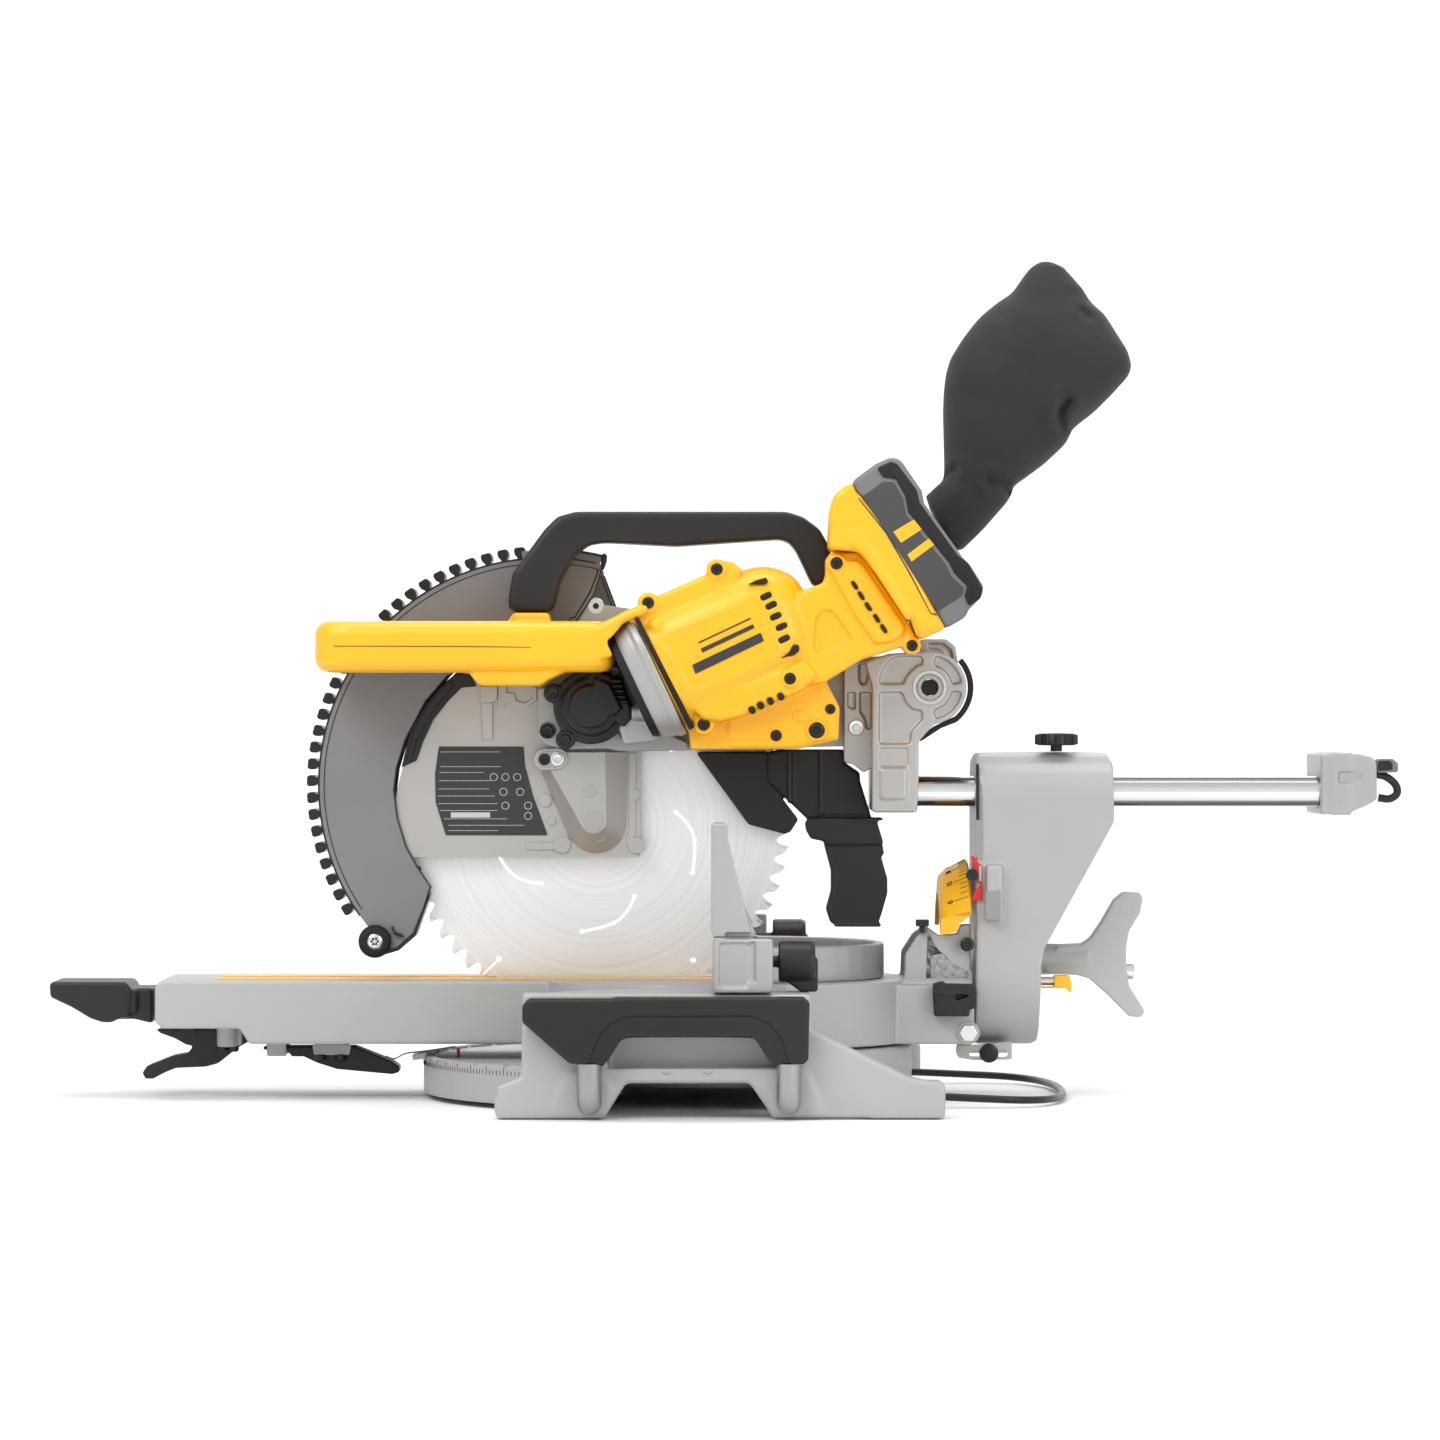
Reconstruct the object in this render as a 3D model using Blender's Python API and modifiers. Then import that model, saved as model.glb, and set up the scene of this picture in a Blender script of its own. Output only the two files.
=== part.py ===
"""Cordless sliding compound miter saw, built as named sub-parts in millimetres and scaled to metres.

X runs from the operator (-) to the rails (+), Y across the table, Z up.  The blade stands in the
plane Y = 0 and the turntable turns about X = 0, Y = 0 before the whole saw is centred on the floor.
"""

import math

import bmesh
import bpy
from mathutils import Matrix, Vector

MM = 0.001
TABLE_TOP = 92.8
TURNTABLE_R = 150.0
ARM_HALF = 62.0
ARM_FRONT = -444.0
ARM_BOTTOM = 43.0
HALF_WIDTH = 278.0
WING_REAR = 66.0
BLADE_X = -99.5
BLADE_Z = 212.5
BLADE_R = 152.5
BLADE_T = 2.4
TOOTH_COUNT = 60
GUARD_R = 160.0
GUARD_HALF = 18.0
SHIELD_X = -139.1
SHIELD_Z = 245.0
SHIELD_R = 189.0
SHIELD_HALF = 21.6
ROLLER_X = -274.0
ROLLER_Z = 122.0
PIVOT_X = 162.1
PIVOT_Z = 321.9
RAIL_Z = 240.5
RAIL_Y = 36.0
RAIL_R = 12.0
COLUMN_FRONT = 197.2
COLUMN_HALF = 62.0
BRIDGE_R = 128.0
FENCE_FACE = -7.0
FENCE_GAP = 62.0
LOWER_FENCE_TOP = 134.6
UPPER_FENCE_TOP = 219.0
GAP = 0.35
FENCE_SEAT = 0.4
BEVEL_SCALE_HALF_ANGLE = 54.0
BAG_Y = 25.0
BAG_LEAN = math.atan2(0.45, 0.89)
WELD = 0.00002
FLAT_ANGLE = 0.001

YELLOW = ("yellow_plastic", (0.95, 0.58, 0.03), 0.38, 0.0)
BLACK = ("black_plastic", (0.025, 0.025, 0.027), 0.5, 0.0)
CASTING = ("light_casting", (0.55, 0.55, 0.54), 0.45, 0.6)
PLATE = ("warm_plate", (0.46, 0.45, 0.43), 0.42, 0.7)
STEEL = ("bright_steel", (0.78, 0.78, 0.77), 0.22, 1.0)
CHROME = ("chrome_rail", (0.75, 0.75, 0.76), 0.08, 1.0)
GREY = ("battery_grey", (0.19, 0.19, 0.19), 0.5, 0.0)
TINT = ("shield_grey", (0.16, 0.16, 0.165), 0.3, 0.0)
RUBBER = ("black_rubber", (0.02, 0.02, 0.02), 0.75, 0.0)
CLOTH = ("bag_cloth", (0.035, 0.035, 0.038), 0.9, 0.0)
RED = ("red_pointer", (0.75, 0.02, 0.02), 0.4, 0.0)
LABEL = ("dark_label", (0.07, 0.07, 0.075), 0.5, 0.0)
DARK_ROD = ("dark_rod", (0.03, 0.03, 0.03), 0.4, 0.5)


def clear_scene():
    for obj in list(bpy.data.objects):
        bpy.data.objects.remove(obj, do_unlink=True)


def collection(name):
    made = bpy.data.collections.new(name)
    bpy.context.scene.collection.children.link(made)
    return made


def material(spec):
    name, colour, roughness, metallic = spec
    found = bpy.data.materials.get(name)
    if found:
        return found
    mat = bpy.data.materials.new(name)
    mat.use_nodes = True
    shader = mat.node_tree.nodes["Principled BSDF"]
    shader.inputs["Base Color"].default_value = (*colour, 1.0)
    shader.inputs["Roughness"].default_value = roughness
    shader.inputs["Metallic"].default_value = metallic
    return mat


def clean_mesh(mesh, matrix, join_flats):
    """Places a mesh, welds its seams and turns its faces outwards."""
    bm = bmesh.new()
    bm.from_mesh(mesh)
    bmesh.ops.transform(bm, matrix=matrix, verts=bm.verts)
    bmesh.ops.remove_doubles(bm, verts=bm.verts, dist=WELD)
    if join_flats:
        bmesh.ops.dissolve_limit(bm, angle_limit=FLAT_ANGLE, verts=bm.verts, edges=bm.edges)
    bmesh.ops.recalc_face_normals(bm, faces=bm.faces)
    bm.to_mesh(mesh)
    bm.free()


def new_part(name, mesh, spec, matrix=None, join_flats=False):
    clean_mesh(mesh, matrix or Matrix.Identity(4), join_flats)
    mesh.materials.clear()
    mesh.materials.append(material(spec))
    obj = bpy.data.objects.new(name, mesh)
    PARTS.objects.link(obj)
    return obj


def from_bmesh(name, bm, spec):
    mesh = bpy.data.meshes.new(name)
    bm.to_mesh(mesh)
    bm.free()
    return new_part(name, mesh, spec)


def to_mesh_part(source, name, spec, matrix, join_flats=False):
    """The finished part of a curve or modifier object, which is then removed."""
    PARTS.objects.link(source)
    depsgraph = bpy.context.evaluated_depsgraph_get()
    mesh = bpy.data.meshes.new_from_object(source.evaluated_get(depsgraph))
    bpy.data.objects.remove(source, do_unlink=True)
    mesh.name = name
    return new_part(name, mesh, spec, matrix, join_flats)


def section_frame(axis, height=0.0):
    """Turns a section's own (a, b, height) into the saw's X, Y, Z."""
    columns = {"X": ((0, 0, 1), (1, 0, 0), (0, 1, 0)),
               "Y": ((1, 0, 0), (0, 0, 1), (0, 1, 0)),
               "Z": ((1, 0, 0), (0, 1, 0), (0, 0, 1))}[axis]
    turn = Matrix(columns).to_4x4()
    return turn @ Matrix.Translation((0, 0, height * MM))


def prism(name, points, axis, low, high, spec):
    """A flat outline filled and extruded between two heights along an axis."""
    outline = bpy.data.curves.new(name, "CURVE")
    outline.dimensions = "2D"
    outline.fill_mode = "BOTH"
    outline.extrude = abs(high - low) / 2 * MM
    line = outline.splines.new("POLY")
    line.points.add(len(points) - 1)
    for knot, (a, b) in zip(line.points, points):
        knot.co = (a * MM, b * MM, 0, 1)
    line.use_cyclic_u = True
    source = bpy.data.objects.new(name + "_outline", outline)
    return to_mesh_part(source, name, spec, section_frame(axis, (low + high) / 2), join_flats=True)


def block(name, low, high, spec):
    bm = bmesh.new()
    middle = (Vector(low) + Vector(high)) / 2 * MM
    size = (Vector(high) - Vector(low)) * MM
    frame = Matrix.LocRotScale(middle, None, size)
    bmesh.ops.create_cube(bm, size=1.0, matrix=frame)
    return from_bmesh(name, bm, spec)


def arc(cx, cz, radius, start, end, steps):
    """Points of an arc in a section, angles in degrees."""
    found = []
    for i in range(steps + 1):
        angle = math.radians(start + (end - start) * i / steps)
        found.append((cx + radius * math.cos(angle), cz + radius * math.sin(angle)))
    return found


def rounded(points, radius, steps=3):
    """The same outline with every corner rounded, the radius held to what each side allows."""
    found = []
    count = len(points)
    for i in range(count):
        here = Vector(points[i])
        before = Vector(points[i - 1]) - here
        after = Vector(points[(i + 1) % count]) - here
        turn = before.angle(after)
        reach = min(radius / math.tan(turn / 2), before.length * 0.45, after.length * 0.45)
        start = here + before.normalized() * reach
        end = here + after.normalized() * reach
        for k in range(steps + 1):
            t = k / steps
            near = start.lerp(here, t)
            far = here.lerp(end, t)
            spot = near.lerp(far, t)
            found.append((spot.x, spot.y))
    return found


def grown(points, distance):
    """A clockwise outline moved outwards by a distance."""
    found = []
    count = len(points)
    for i in range(count):
        here = Vector(points[i])
        before = (here - Vector(points[i - 1])).normalized()
        after = (Vector(points[(i + 1) % count]) - here).normalized()
        out_before = Vector((-before.y, before.x))
        out_after = Vector((-after.y, after.x))
        middle = (out_before + out_after).normalized()
        spot = here + middle * distance / max(0.5, middle.dot(out_before))
        found.append((spot.x, spot.y))
    return found


def lathe(name, profile, origin, axis, steps, spec):
    """Turns a (radius, height) outline about an axis through the origin point."""
    bm = bmesh.new()
    knots = [bm.verts.new((radius * MM, 0, height * MM)) for radius, height in profile]
    for start, end in zip(knots, knots[1:]):
        bm.edges.new((start, end))
    if profile[0][0] > 0:
        bm.edges.new((knots[-1], knots[0]))
    mesh = bpy.data.meshes.new(name)
    bm.to_mesh(mesh)
    bm.free()
    source = bpy.data.objects.new(name + "_profile", mesh)
    turn = source.modifiers.new("turn", "SCREW")
    turn.axis = "Z"
    turn.angle = math.tau
    turn.steps = steps
    turn.render_steps = steps
    turn.use_merge_vertices = True
    turn.merge_threshold = WELD
    frame = Matrix.Translation(Vector(origin) * MM) @ section_frame(axis)
    return to_mesh_part(source, name, spec, frame)


def rod(name, start, end, radius, steps, spec):
    """A plain round bar between two points."""
    along = Vector(end) - Vector(start)
    middle = (Vector(start) + Vector(end)) / 2 * MM
    turn = Vector((0, 0, 1)).rotation_difference(along)
    bm = bmesh.new()
    bmesh.ops.create_cone(bm, cap_ends=True, cap_tris=False, segments=steps, radius1=radius * MM,
                          radius2=radius * MM, depth=along.length * MM,
                          matrix=Matrix.LocRotScale(middle, turn, None))
    return from_bmesh(name, bm, spec)


def tube(name, path, radius, steps, spec):
    """A solid round bar swept along a path of points, with an even number of sides."""
    line = bpy.data.curves.new(name, "CURVE")
    line.dimensions = "3D"
    line.bevel_depth = radius * MM
    line.bevel_resolution = (steps - 4) // 2
    line.use_fill_caps = True
    run = line.splines.new("POLY")
    run.points.add(len(path) - 1)
    for knot, spot in zip(run.points, path):
        knot.co = (*(Vector(spot) * MM), 1)
    source = bpy.data.objects.new(name + "_line", line)
    return to_mesh_part(source, name, spec, Matrix.Identity(4))


def bend(points, steps=4):
    """A path with its inner corners eased by quadratic curves."""
    path = [Vector(p) for p in points]
    eased = [path[0]]
    for before, here, after in zip(path, path[1:], path[2:]):
        start = here.lerp(before, 0.45)
        end = here.lerp(after, 0.45)
        for k in range(steps + 1):
            t = k / steps
            eased.append(start.lerp(here, t).lerp(here.lerp(end, t), t))
    eased.append(path[-1])
    return [tuple(p) for p in eased]


def bake(obj):
    depsgraph = bpy.context.evaluated_depsgraph_get()
    mesh = bpy.data.meshes.new_from_object(obj.evaluated_get(depsgraph))
    obj.modifiers.clear()
    old = obj.data
    obj.data = mesh
    bpy.data.meshes.remove(old)
    return obj


def combine(obj, other, operation):
    change = obj.modifiers.new("join", "BOOLEAN")
    change.operation = operation
    change.solver = "EXACT"
    change.object = other
    bake(obj)
    bpy.data.objects.remove(other, do_unlink=True)
    return obj


def add(obj, *others):
    for other in others:
        combine(obj, other, "UNION")
    return obj


def cut(obj, *others):
    for other in others:
        combine(obj, other, "DIFFERENCE")
    return obj


def keep_common(obj, other):
    return combine(obj, other, "INTERSECT")


def soften(obj, width, segments=1):
    edge = obj.modifiers.new("soft_edges", "BEVEL")
    edge.width = width * MM
    edge.segments = segments
    edge.limit_method = "ANGLE"
    edge.angle_limit = math.radians(40)
    edge.use_clamp_overlap = True
    return bake(obj)


# ---------------------------------------------------------------- base and fence


def base_side_profile():
    return [(-168, 0), (-168, 24), (-150, 31), (-149, TABLE_TOP), (WING_REAR, TABLE_TOP),
            (WING_REAR, 66),
            (140, 30), (165, 25), (165, 0), (110, 0), (96, 14), (56, 14), (38, 0), (20, 26), (-72, 26),
            (-88, 0)]


def base_casting():
    base = prism("base_casting", base_side_profile(), "Y", -HALF_WIDTH, HALF_WIDTH, CASTING)
    cut(base, block("c", (FENCE_FACE - 1, -HALF_WIDTH - 1, TABLE_TOP - FENCE_SEAT),
                    (WING_REAR + 1, HALF_WIDTH + 1, TABLE_TOP + 30), CASTING))
    cut(base, block("c", (WING_REAR, -252, -10), (200, 252, 120), CASTING))
    cut(base, block("c", (-200, -252, -10), (-140, 252, 120), CASTING))
    cut(base, block("c", (-150, -252, 33.4), (-108, 252, 60), CASTING))
    cut(base, block("c", (50, -208, 42.2), (200, 208, 120), CASTING))
    for side in (-1, 1):
        front = [(-160, side * 254), (-160, -side * 10), (-42, -side * 10), (-42, side * 163),
                 (-136, side * 254)]
        cut(base, prism("c", front, "Z", 42.2, 120, CASTING))
        inner_low = min(side * 170, side * (HALF_WIDTH - 9))
        inner_high = max(side * 170, side * (HALF_WIDTH - 9))
        cut(base, block("c", (-54, inner_low, -10), (WING_REAR - 8, inner_high, TABLE_TOP - 8),
                        CASTING))
        pocket_low = min(side * 255, side * 300)
        pocket_high = max(side * 255, side * 300)
        cut(base, block("c", (-86, pocket_low, 34), (45, pocket_high, 64), CASTING))
    floor_disc = prism("floor_disc", arc(0, 0, TURNTABLE_R, 0, 354, 59), "Z", 14, 41.5, CASTING)
    apron_outer = arc(0, 0, 230, 128, 232, 18)
    apron_inner = arc(0, 0, 120, 232, 128, 12)
    apron = prism("apron", apron_outer + apron_inner, "Z", 6, 31, CASTING)
    add(base, floor_disc, apron)
    cut(base, prism("c", arc(0, 0, TURNTABLE_R + 1.2, 0, 354, 59), "Z", 41.5, 130, CASTING))
    return base


def fence_half(side):
    inner = FENCE_GAP
    slope = LOWER_FENCE_TOP - TABLE_TOP
    face = [(side * inner, TABLE_TOP + GAP), (side * (inner + slope), LOWER_FENCE_TOP),
            (side * 280, LOWER_FENCE_TOP), (side * 280, TABLE_TOP + GAP)]
    plate = prism("face", face, "X", FENCE_FACE, 1.5, CASTING)
    foot_low = min(side * inner, side * 280)
    foot_high = max(side * inner, side * 280)
    add(plate, block("foot", (-5, foot_low, TABLE_TOP + GAP), (36, foot_high, 99), CASTING))
    for spot in (116, 160, 204, 262):
        rib = [(0, 97), (34, 97), (34, 104), (22, LOWER_FENCE_TOP - 2), (0, LOWER_FENCE_TOP - 2)]
        low = min(side * spot, side * (spot + 6))
        add(plate, prism("rib", rib, "Y", low, low + 6, CASTING))
    return plate


def fixed_fence():
    fence = fence_half(-1)
    fence.name = "fixed_fence"
    add(fence, fence_half(1))
    outer = arc(0, 0, BRIDGE_R, -88, 88, 22)
    inner = arc(0, 0, BRIDGE_R - 7, 88, -88, 22)
    add(fence, prism("bridge", outer + inner, "Z", TABLE_TOP + GAP, 121, CASTING))
    for side in (-1, 1):
        bolt_hole = rod("c", (-20, side * 236, 115), (60, side * 236, 115), 5.2, 16, CASTING)
        cut(fence, bolt_hole)
    return fence


def upper_fence(name, side):
    low = LOWER_FENCE_TOP + GAP
    rise = UPPER_FENCE_TOP - low
    start = FENCE_GAP + low - TABLE_TOP + 4
    outline = [(side * start, low), (side * (start + rise), UPPER_FENCE_TOP),
               (side * 278, UPPER_FENCE_TOP),
               (side * 278, low)]
    plate = prism(name, outline, "X", FENCE_FACE, 1.8, PLATE)
    for spot in (150, 205, 268):
        rib = [(0, low), (24, low), (22, low + 9), (3, min(low + 50, low + (spot - start) * 0.8)),
               (0, low + 30)]
        inner = min(side * spot, side * (spot + 5))
        add(plate, prism("rib", rib, "Y", inner, inner + 5, PLATE))
    return plate


def fence_knob(name, side):
    knob = lathe(name, [(0, -33), (4.6, -33), (4.6, 3), (10, 5), (15.5, 8), (16.5, 14), (15, 30),
                        (12, 32), (0, 32)],
                 (40, side * 236, 115), "X", 16, BLACK)
    return knob


def carry_handle(name, side):
    outline = [(-148, 42), (-146, 89), (63, 89), (65, 41), (43, 41), (40, 52), (22, 66), (-60, 66),
               (-86, 52), (-90, 41)]
    low = min(side * (HALF_WIDTH + GAP), side * 302)
    handle = prism(name, rounded(outline, 9, 2), "Y", low, low + 302 - HALF_WIDTH - GAP, BLACK)
    return soften(handle, 3.5, 1)


def handle_post(name, x, side):
    path = [(x, side * 290.5, 40.5), (x, side * 290.5, 13), (x, side * (HALF_WIDTH + GAP), 13)]
    return tube(name, bend(path, 4), 9.5, 12, STEEL)


def miter_scale():
    outer = arc(0, 0, 236.5, 129, 231, 34)
    inner = arc(0, 0, 230 + GAP, 231, 129, 34)
    plate = prism("miter_scale", outer + inner, "Z", 3, 33, STEEL)
    for step in range(-5, 6):
        angle = math.radians(180 + step * 9)
        spot = Vector((math.cos(angle), math.sin(angle), 0))
        start = spot * 226
        end = spot * 242
        cut(plate, rod("c", (start.x, start.y, 34.1), (end.x, end.y, 34.1), 4.0, 6, STEEL))
    return plate


def wire_stand():
    path = [(WING_REAR + GAP, -150, 13), (150, -150, 8.5), (268, -150, 3.3), (268, 150, 3.3),
            (150, 150, 8.5),
            (WING_REAR + GAP, 150, 13)]
    return tube("wire_stand", bend(path, 3), 2.9, 10, DARK_ROD)


# ---------------------------------------------------------------- turntable


def turntable():
    disc = prism("turntable", arc(0, 0, TURNTABLE_R, 0, 356, 89), "Z", ARM_BOTTOM, TABLE_TOP, CASTING)
    arm = [(ARM_FRONT, 61), (ARM_FRONT + 6, 55), (-378, 55), (-370, ARM_BOTTOM), (-100, ARM_BOTTOM),
           (-100, TABLE_TOP - 0.4), (ARM_FRONT + 4, TABLE_TOP - 0.4), (ARM_FRONT, TABLE_TOP - 5)]
    add(disc, prism("arm", arm, "Y", -ARM_HALF, ARM_HALF, CASTING))
    add(disc, block("rear_arm", (100, -64, ARM_BOTTOM), (COLUMN_FRONT - GAP, 64, 89), CASTING))
    web = rounded([(142, 85), (143, 112), (152, 126), (163, 134), (170, 120), (182, 108), (196.8, 100),
                   (196.8, 85)], 5, 2)
    add(disc, prism("web", web, "Y", -52, -40, CASTING), prism("web", web, "Y", 40, 52, CASTING))
    for low in (-19.5, 15.8):
        add(disc, block("lug", (-397, low, 40), (-379, low + 3.7, 60), CASTING))
        add(disc, block("lug", (-360, low, 31), (-344, low + 3.7, 50), CASTING))
    cut(disc, block("c", (-340, -52, 20), (60, 52, TABLE_TOP - 7), CASTING))
    cut(disc, block("c", (-385, -52, 62), (-330, 52, TABLE_TOP - 7), CASTING))
    cut(disc, block("c", (-382, -14, 60), (56, 14, 120), CASTING))
    cut(disc, block("c", (-399, -38.4, TABLE_TOP - 2.8), (61, 38.4, 120), CASTING))
    return disc


def kerf_plate(name, side):
    outline = [(-398, side * 6), (-398, side * 38), (60, side * 38), (60, side * 6)]
    return prism(name, outline, "Z", TABLE_TOP - 2.8 + GAP, TABLE_TOP + 0.2, YELLOW)


def miter_handle():
    outline = [(-530, 88), (-526, 92), (-470, 91.5), (-465, 86.5), (ARM_FRONT - GAP, 86.5),
               (ARM_FRONT - GAP, 62),
               (-466, 60.5), (-480, 59), (-494, 61), (-529, 76)]
    grip = prism("miter_handle", rounded(outline, 4, 2), "Y", -36, 36, BLACK)
    return soften(grip, 5, 2)


def miter_lock_lever():
    outline = [(-400, 49), (-378, 49), (-378, 42), (-401, 31), (-409, 26), (-430, 24.5), (-452, 13.5),
               (-458, 15.5),
               (-458, 20), (-433, 33), (-424, 41)]
    lever = prism("miter_lock_lever", rounded(outline, 3, 2), "Y", -15, 15, BLACK)
    return soften(lever, 2.5, 1)


def detent_lever():
    outline = [(-366, 41), (-320, 41), (-258, 24), (-254, 17), (-266, 15), (-306, 21.5), (-326, 29),
               (-366, 34)]
    lever = prism("detent_lever", rounded(outline, 2.5, 2), "Y", -14, 14, BLACK)
    return soften(lever, 2, 1)


def miter_pointer():
    outline = [(-268, ARM_BOTTOM - GAP), (-232, ARM_BOTTOM - GAP), (-232, 40), (-240, 34.6),
               (-246, 34.6), (-250, 39)]
    return prism("miter_pointer", outline, "Y", 16, 33, RED)


def bevel_scale():
    """A coned strip bent round the bevel axis in front of the column."""
    section = [(168, 69), (171, 82), (193, 94), (195.5, 90), (175, 79), (172, 68)]
    start = Matrix.Rotation(math.radians(BEVEL_SCALE_HALF_ANGLE), 4, "X")
    centre = Vector((0, 0, TABLE_TOP)) * MM
    bm = bmesh.new()
    knots = [bm.verts.new(start @ (Vector((x, 0, radius)) * MM) + centre) for x, radius in section]
    face = bm.faces.new(knots)
    bmesh.ops.spin(bm, geom=[face] + face.edges[:] + knots, cent=centre, axis=(1, 0, 0),
                   angle=math.radians(-2 * BEVEL_SCALE_HALF_ANGLE), steps=22)
    return from_bmesh("bevel_scale", bm, YELLOW)


def cable_clip():
    outline = rounded([(165, 62), (165, 87), (172, 89), (196, 88), (199, 84), (199, 66), (190, 61)], 3,
                      2)
    clip = prism("cord_clip", outline, "Y", -78, -64 - GAP, BLACK)
    return clip


# ---------------------------------------------------------------- column


def column():
    profile = [(COLUMN_FRONT, 40), (COLUMN_FRONT, 268), (201, 271.5), (303, 271.5), (306.5, 268),
               (306.5, 218),
               (252, 118), (249, 104), (248, 44), (244, 40)]
    body = prism("column", profile, "Y", -COLUMN_HALF, COLUMN_HALF, CASTING)
    soften(body, 3, 1)
    outline = [(COLUMN_HALF + 3, 300), (-COLUMN_HALF - 3, 300)] + arc(0, 101, COLUMN_HALF + 0.5, 180,
                                                                      360, 24)
    keep_common(body, prism("c", outline, "X", 150, 350, CASTING))
    for side in (-1, 1):
        cut(body, rod("c", (150, side * RAIL_Y, RAIL_Z), (350, side * RAIL_Y, RAIL_Z), RAIL_R + 0.8, 32,
                      CASTING))
    add(body, block("cap", (205, -72, 139), (219, -50, 184), CASTING))
    return body


def bevel_pointer():
    return block("bevel_pointer", (187, -64, 171), (COLUMN_FRONT - GAP, -58, 186), RED)


def bevel_handle():
    wings = [(253.6, 100), (258.6, 124), (278, 123), (295, 129), (313, 149), (319, 158), (331, 160),
             (331, 150),
             (322, 130), (319, 122), (319, 100), (325, 83), (333, 70), (333, 62), (328, 60), (319,
                                                                                              62), (297,
                                                                                                    93), (280, 100)]
    handle = prism("bevel_handle", rounded(wings, 4, 2), "Y", -11, 11, CASTING)
    return soften(handle, 4, 1)


def bevel_pin():
    outline = [(250.2, 82.5), (250.2, 92), (262, 96), (276, 96), (277, 92), (275, 81), (271, 81.5),
               (268, 84)]
    return prism("bevel_pin", outline, "Y", -38, -22, YELLOW)


def slide_knob():
    profile = [(0, GAP + 271.5), (5, GAP + 271.5), (5, 274), (15, 275.5), (17, 279), (15.5, 285),
               (12, 286.5), (0, 286.5)]
    return lathe("slide_knob", profile, (262.5, -RAIL_Y, 0), "Z", 18, BLACK)


def stop_plate():
    outline = [(184, ARM_BOTTOM - GAP), (184, 31), (187, 28), (228, 28), (228, 34.2), (196, 34.2),
               (196, ARM_BOTTOM - GAP)]
    return prism("stop_plate", outline, "Y", -34, -14, PLATE)


# ---------------------------------------------------------------- sliding carriage


def cheek(low, high):
    plate = prism("cheek", arc(PIVOT_X, PIVOT_Z, 31, 0, 348, 29), "Y", low, high, PLATE)
    leg = [(116, 229), (116, 314), (134, 333), (165, 322), (180, 300), (163, 281), (155, 268),
           (155, 229)]
    return add(plate, prism("leg", leg, "Y", low, high, PLATE))


def head_support():
    body = cheek(-60, -44)
    body.name = "head_support"
    add(body, cheek(44, 60))
    lower = rounded([(116, 224), (116, 268), (154.5, 268), (154.5, 224)], 3, 2)
    add(body, prism("clamp", lower, "Y", -58, 58, PLATE))
    for side in (-1, 1):
        cut(body, rod("c", (124, side * RAIL_Y, RAIL_Z), (180, side * RAIL_Y, RAIL_Z), RAIL_R + GAP, 32,
                      PLATE))
    cut(body, rod("c", (PIVOT_X, -80, PIVOT_Z), (PIVOT_X, 80, PIVOT_Z), 8.4, 24, PLATE))
    return body


def pivot_pin():
    return rod("pivot_pin", (PIVOT_X, -61.5, PIVOT_Z), (PIVOT_X, 61.5, PIVOT_Z), 8, 24, STEEL)


def rail(name, side):
    return rod(name, (125, side * RAIL_Y, RAIL_Z), (487, side * RAIL_Y, RAIL_Z), RAIL_R, 32, CHROME)


def rear_bracket():
    outline = rounded([(469, 223), (469, 269), (503, 269), (509, 262), (509, 236), (500, 230)], 3, 2)
    body = prism("rear_bracket", outline, "Y", -56, 56, PLATE)
    for side in (-1, 1):
        cut(body, rod("c", (440, side * RAIL_Y, RAIL_Z), (488, side * RAIL_Y, RAIL_Z), RAIL_R + GAP, 32,
                      PLATE))
    return body


def cord_clamp():
    outline = rounded([(509 + GAP, 240), (509 + GAP, 265), (530, 264), (534, 258), (534, 244),
                       (528, 240)], 3, 2)
    return prism("cord_clamp", outline, "Y", -52, -34, BLACK)


def bumper():
    outer = arc(PIVOT_X, PIVOT_Z, 35.5, -40, 50, 10)
    inner = arc(PIVOT_X, PIVOT_Z, 31 + 2 * GAP, 50, -40, 10)
    return prism("bumper", outer + inner, "Y", -56, -46, RUBBER)


# ---------------------------------------------------------------- cutting head


def head_arm():
    body = prism("head_arm", arc(PIVOT_X, PIVOT_Z, 29, 0, 345, 23), "Y", -43.5, 43.5, PLATE)
    arm = [(-10, 336), (20, 366), (70, 366), (110, 346), (160, 349), (175, 330), (160, 294), (112, 276),
           (20, 274)]
    add(body, prism("arm", arm, "Y", -26, 40, PLATE))
    cut(body, rod("c", (BLADE_X, -80, BLADE_Z), (BLADE_X, 80, BLADE_Z), GUARD_R + 0.5, 96, PLATE))
    cut(body, rod("c", (PIVOT_X, -80, PIVOT_Z), (PIVOT_X, 80, PIVOT_Z), 8.4, 24, PLATE))
    return body


def guard_outline(radius, low_z, rear_x):
    rear = math.degrees(math.asin((273 - BLADE_Z) / radius))
    front = 180 + math.degrees(math.asin((BLADE_Z - low_z) / radius))
    return arc(BLADE_X, BLADE_Z, radius, rear, front, 34) + [(rear_x, low_z), (rear_x, 273)]


def upper_guard():
    guard = prism("upper_guard", guard_outline(GUARD_R, 188.3, -65), "Y", -GUARD_HALF, GUARD_HALF,
                  PLATE)
    inside = arc(BLADE_X, BLADE_Z, GUARD_R - 3.5, -100, 260, 60)[:-1]
    cut(guard, prism("c", inside, "Y", -GUARD_HALF + 3, GUARD_HALF - 3, PLATE))
    cut(guard, rod("c", (BLADE_X, -60, BLADE_Z), (BLADE_X, 0, BLADE_Z), 13, 20, PLATE))
    return guard


def guard_trim():
    outline = [(-197, 333), (-214, 330), (-236, 309), (-251, 280), (-257, 258), (-244, 262),
               (-232, 288), (-219, 308),
               (-203, 323), (-193, 326)]
    return prism("guard_trim", outline, "Y", -19.1, -GUARD_HALF - GAP, BLACK)


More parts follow.
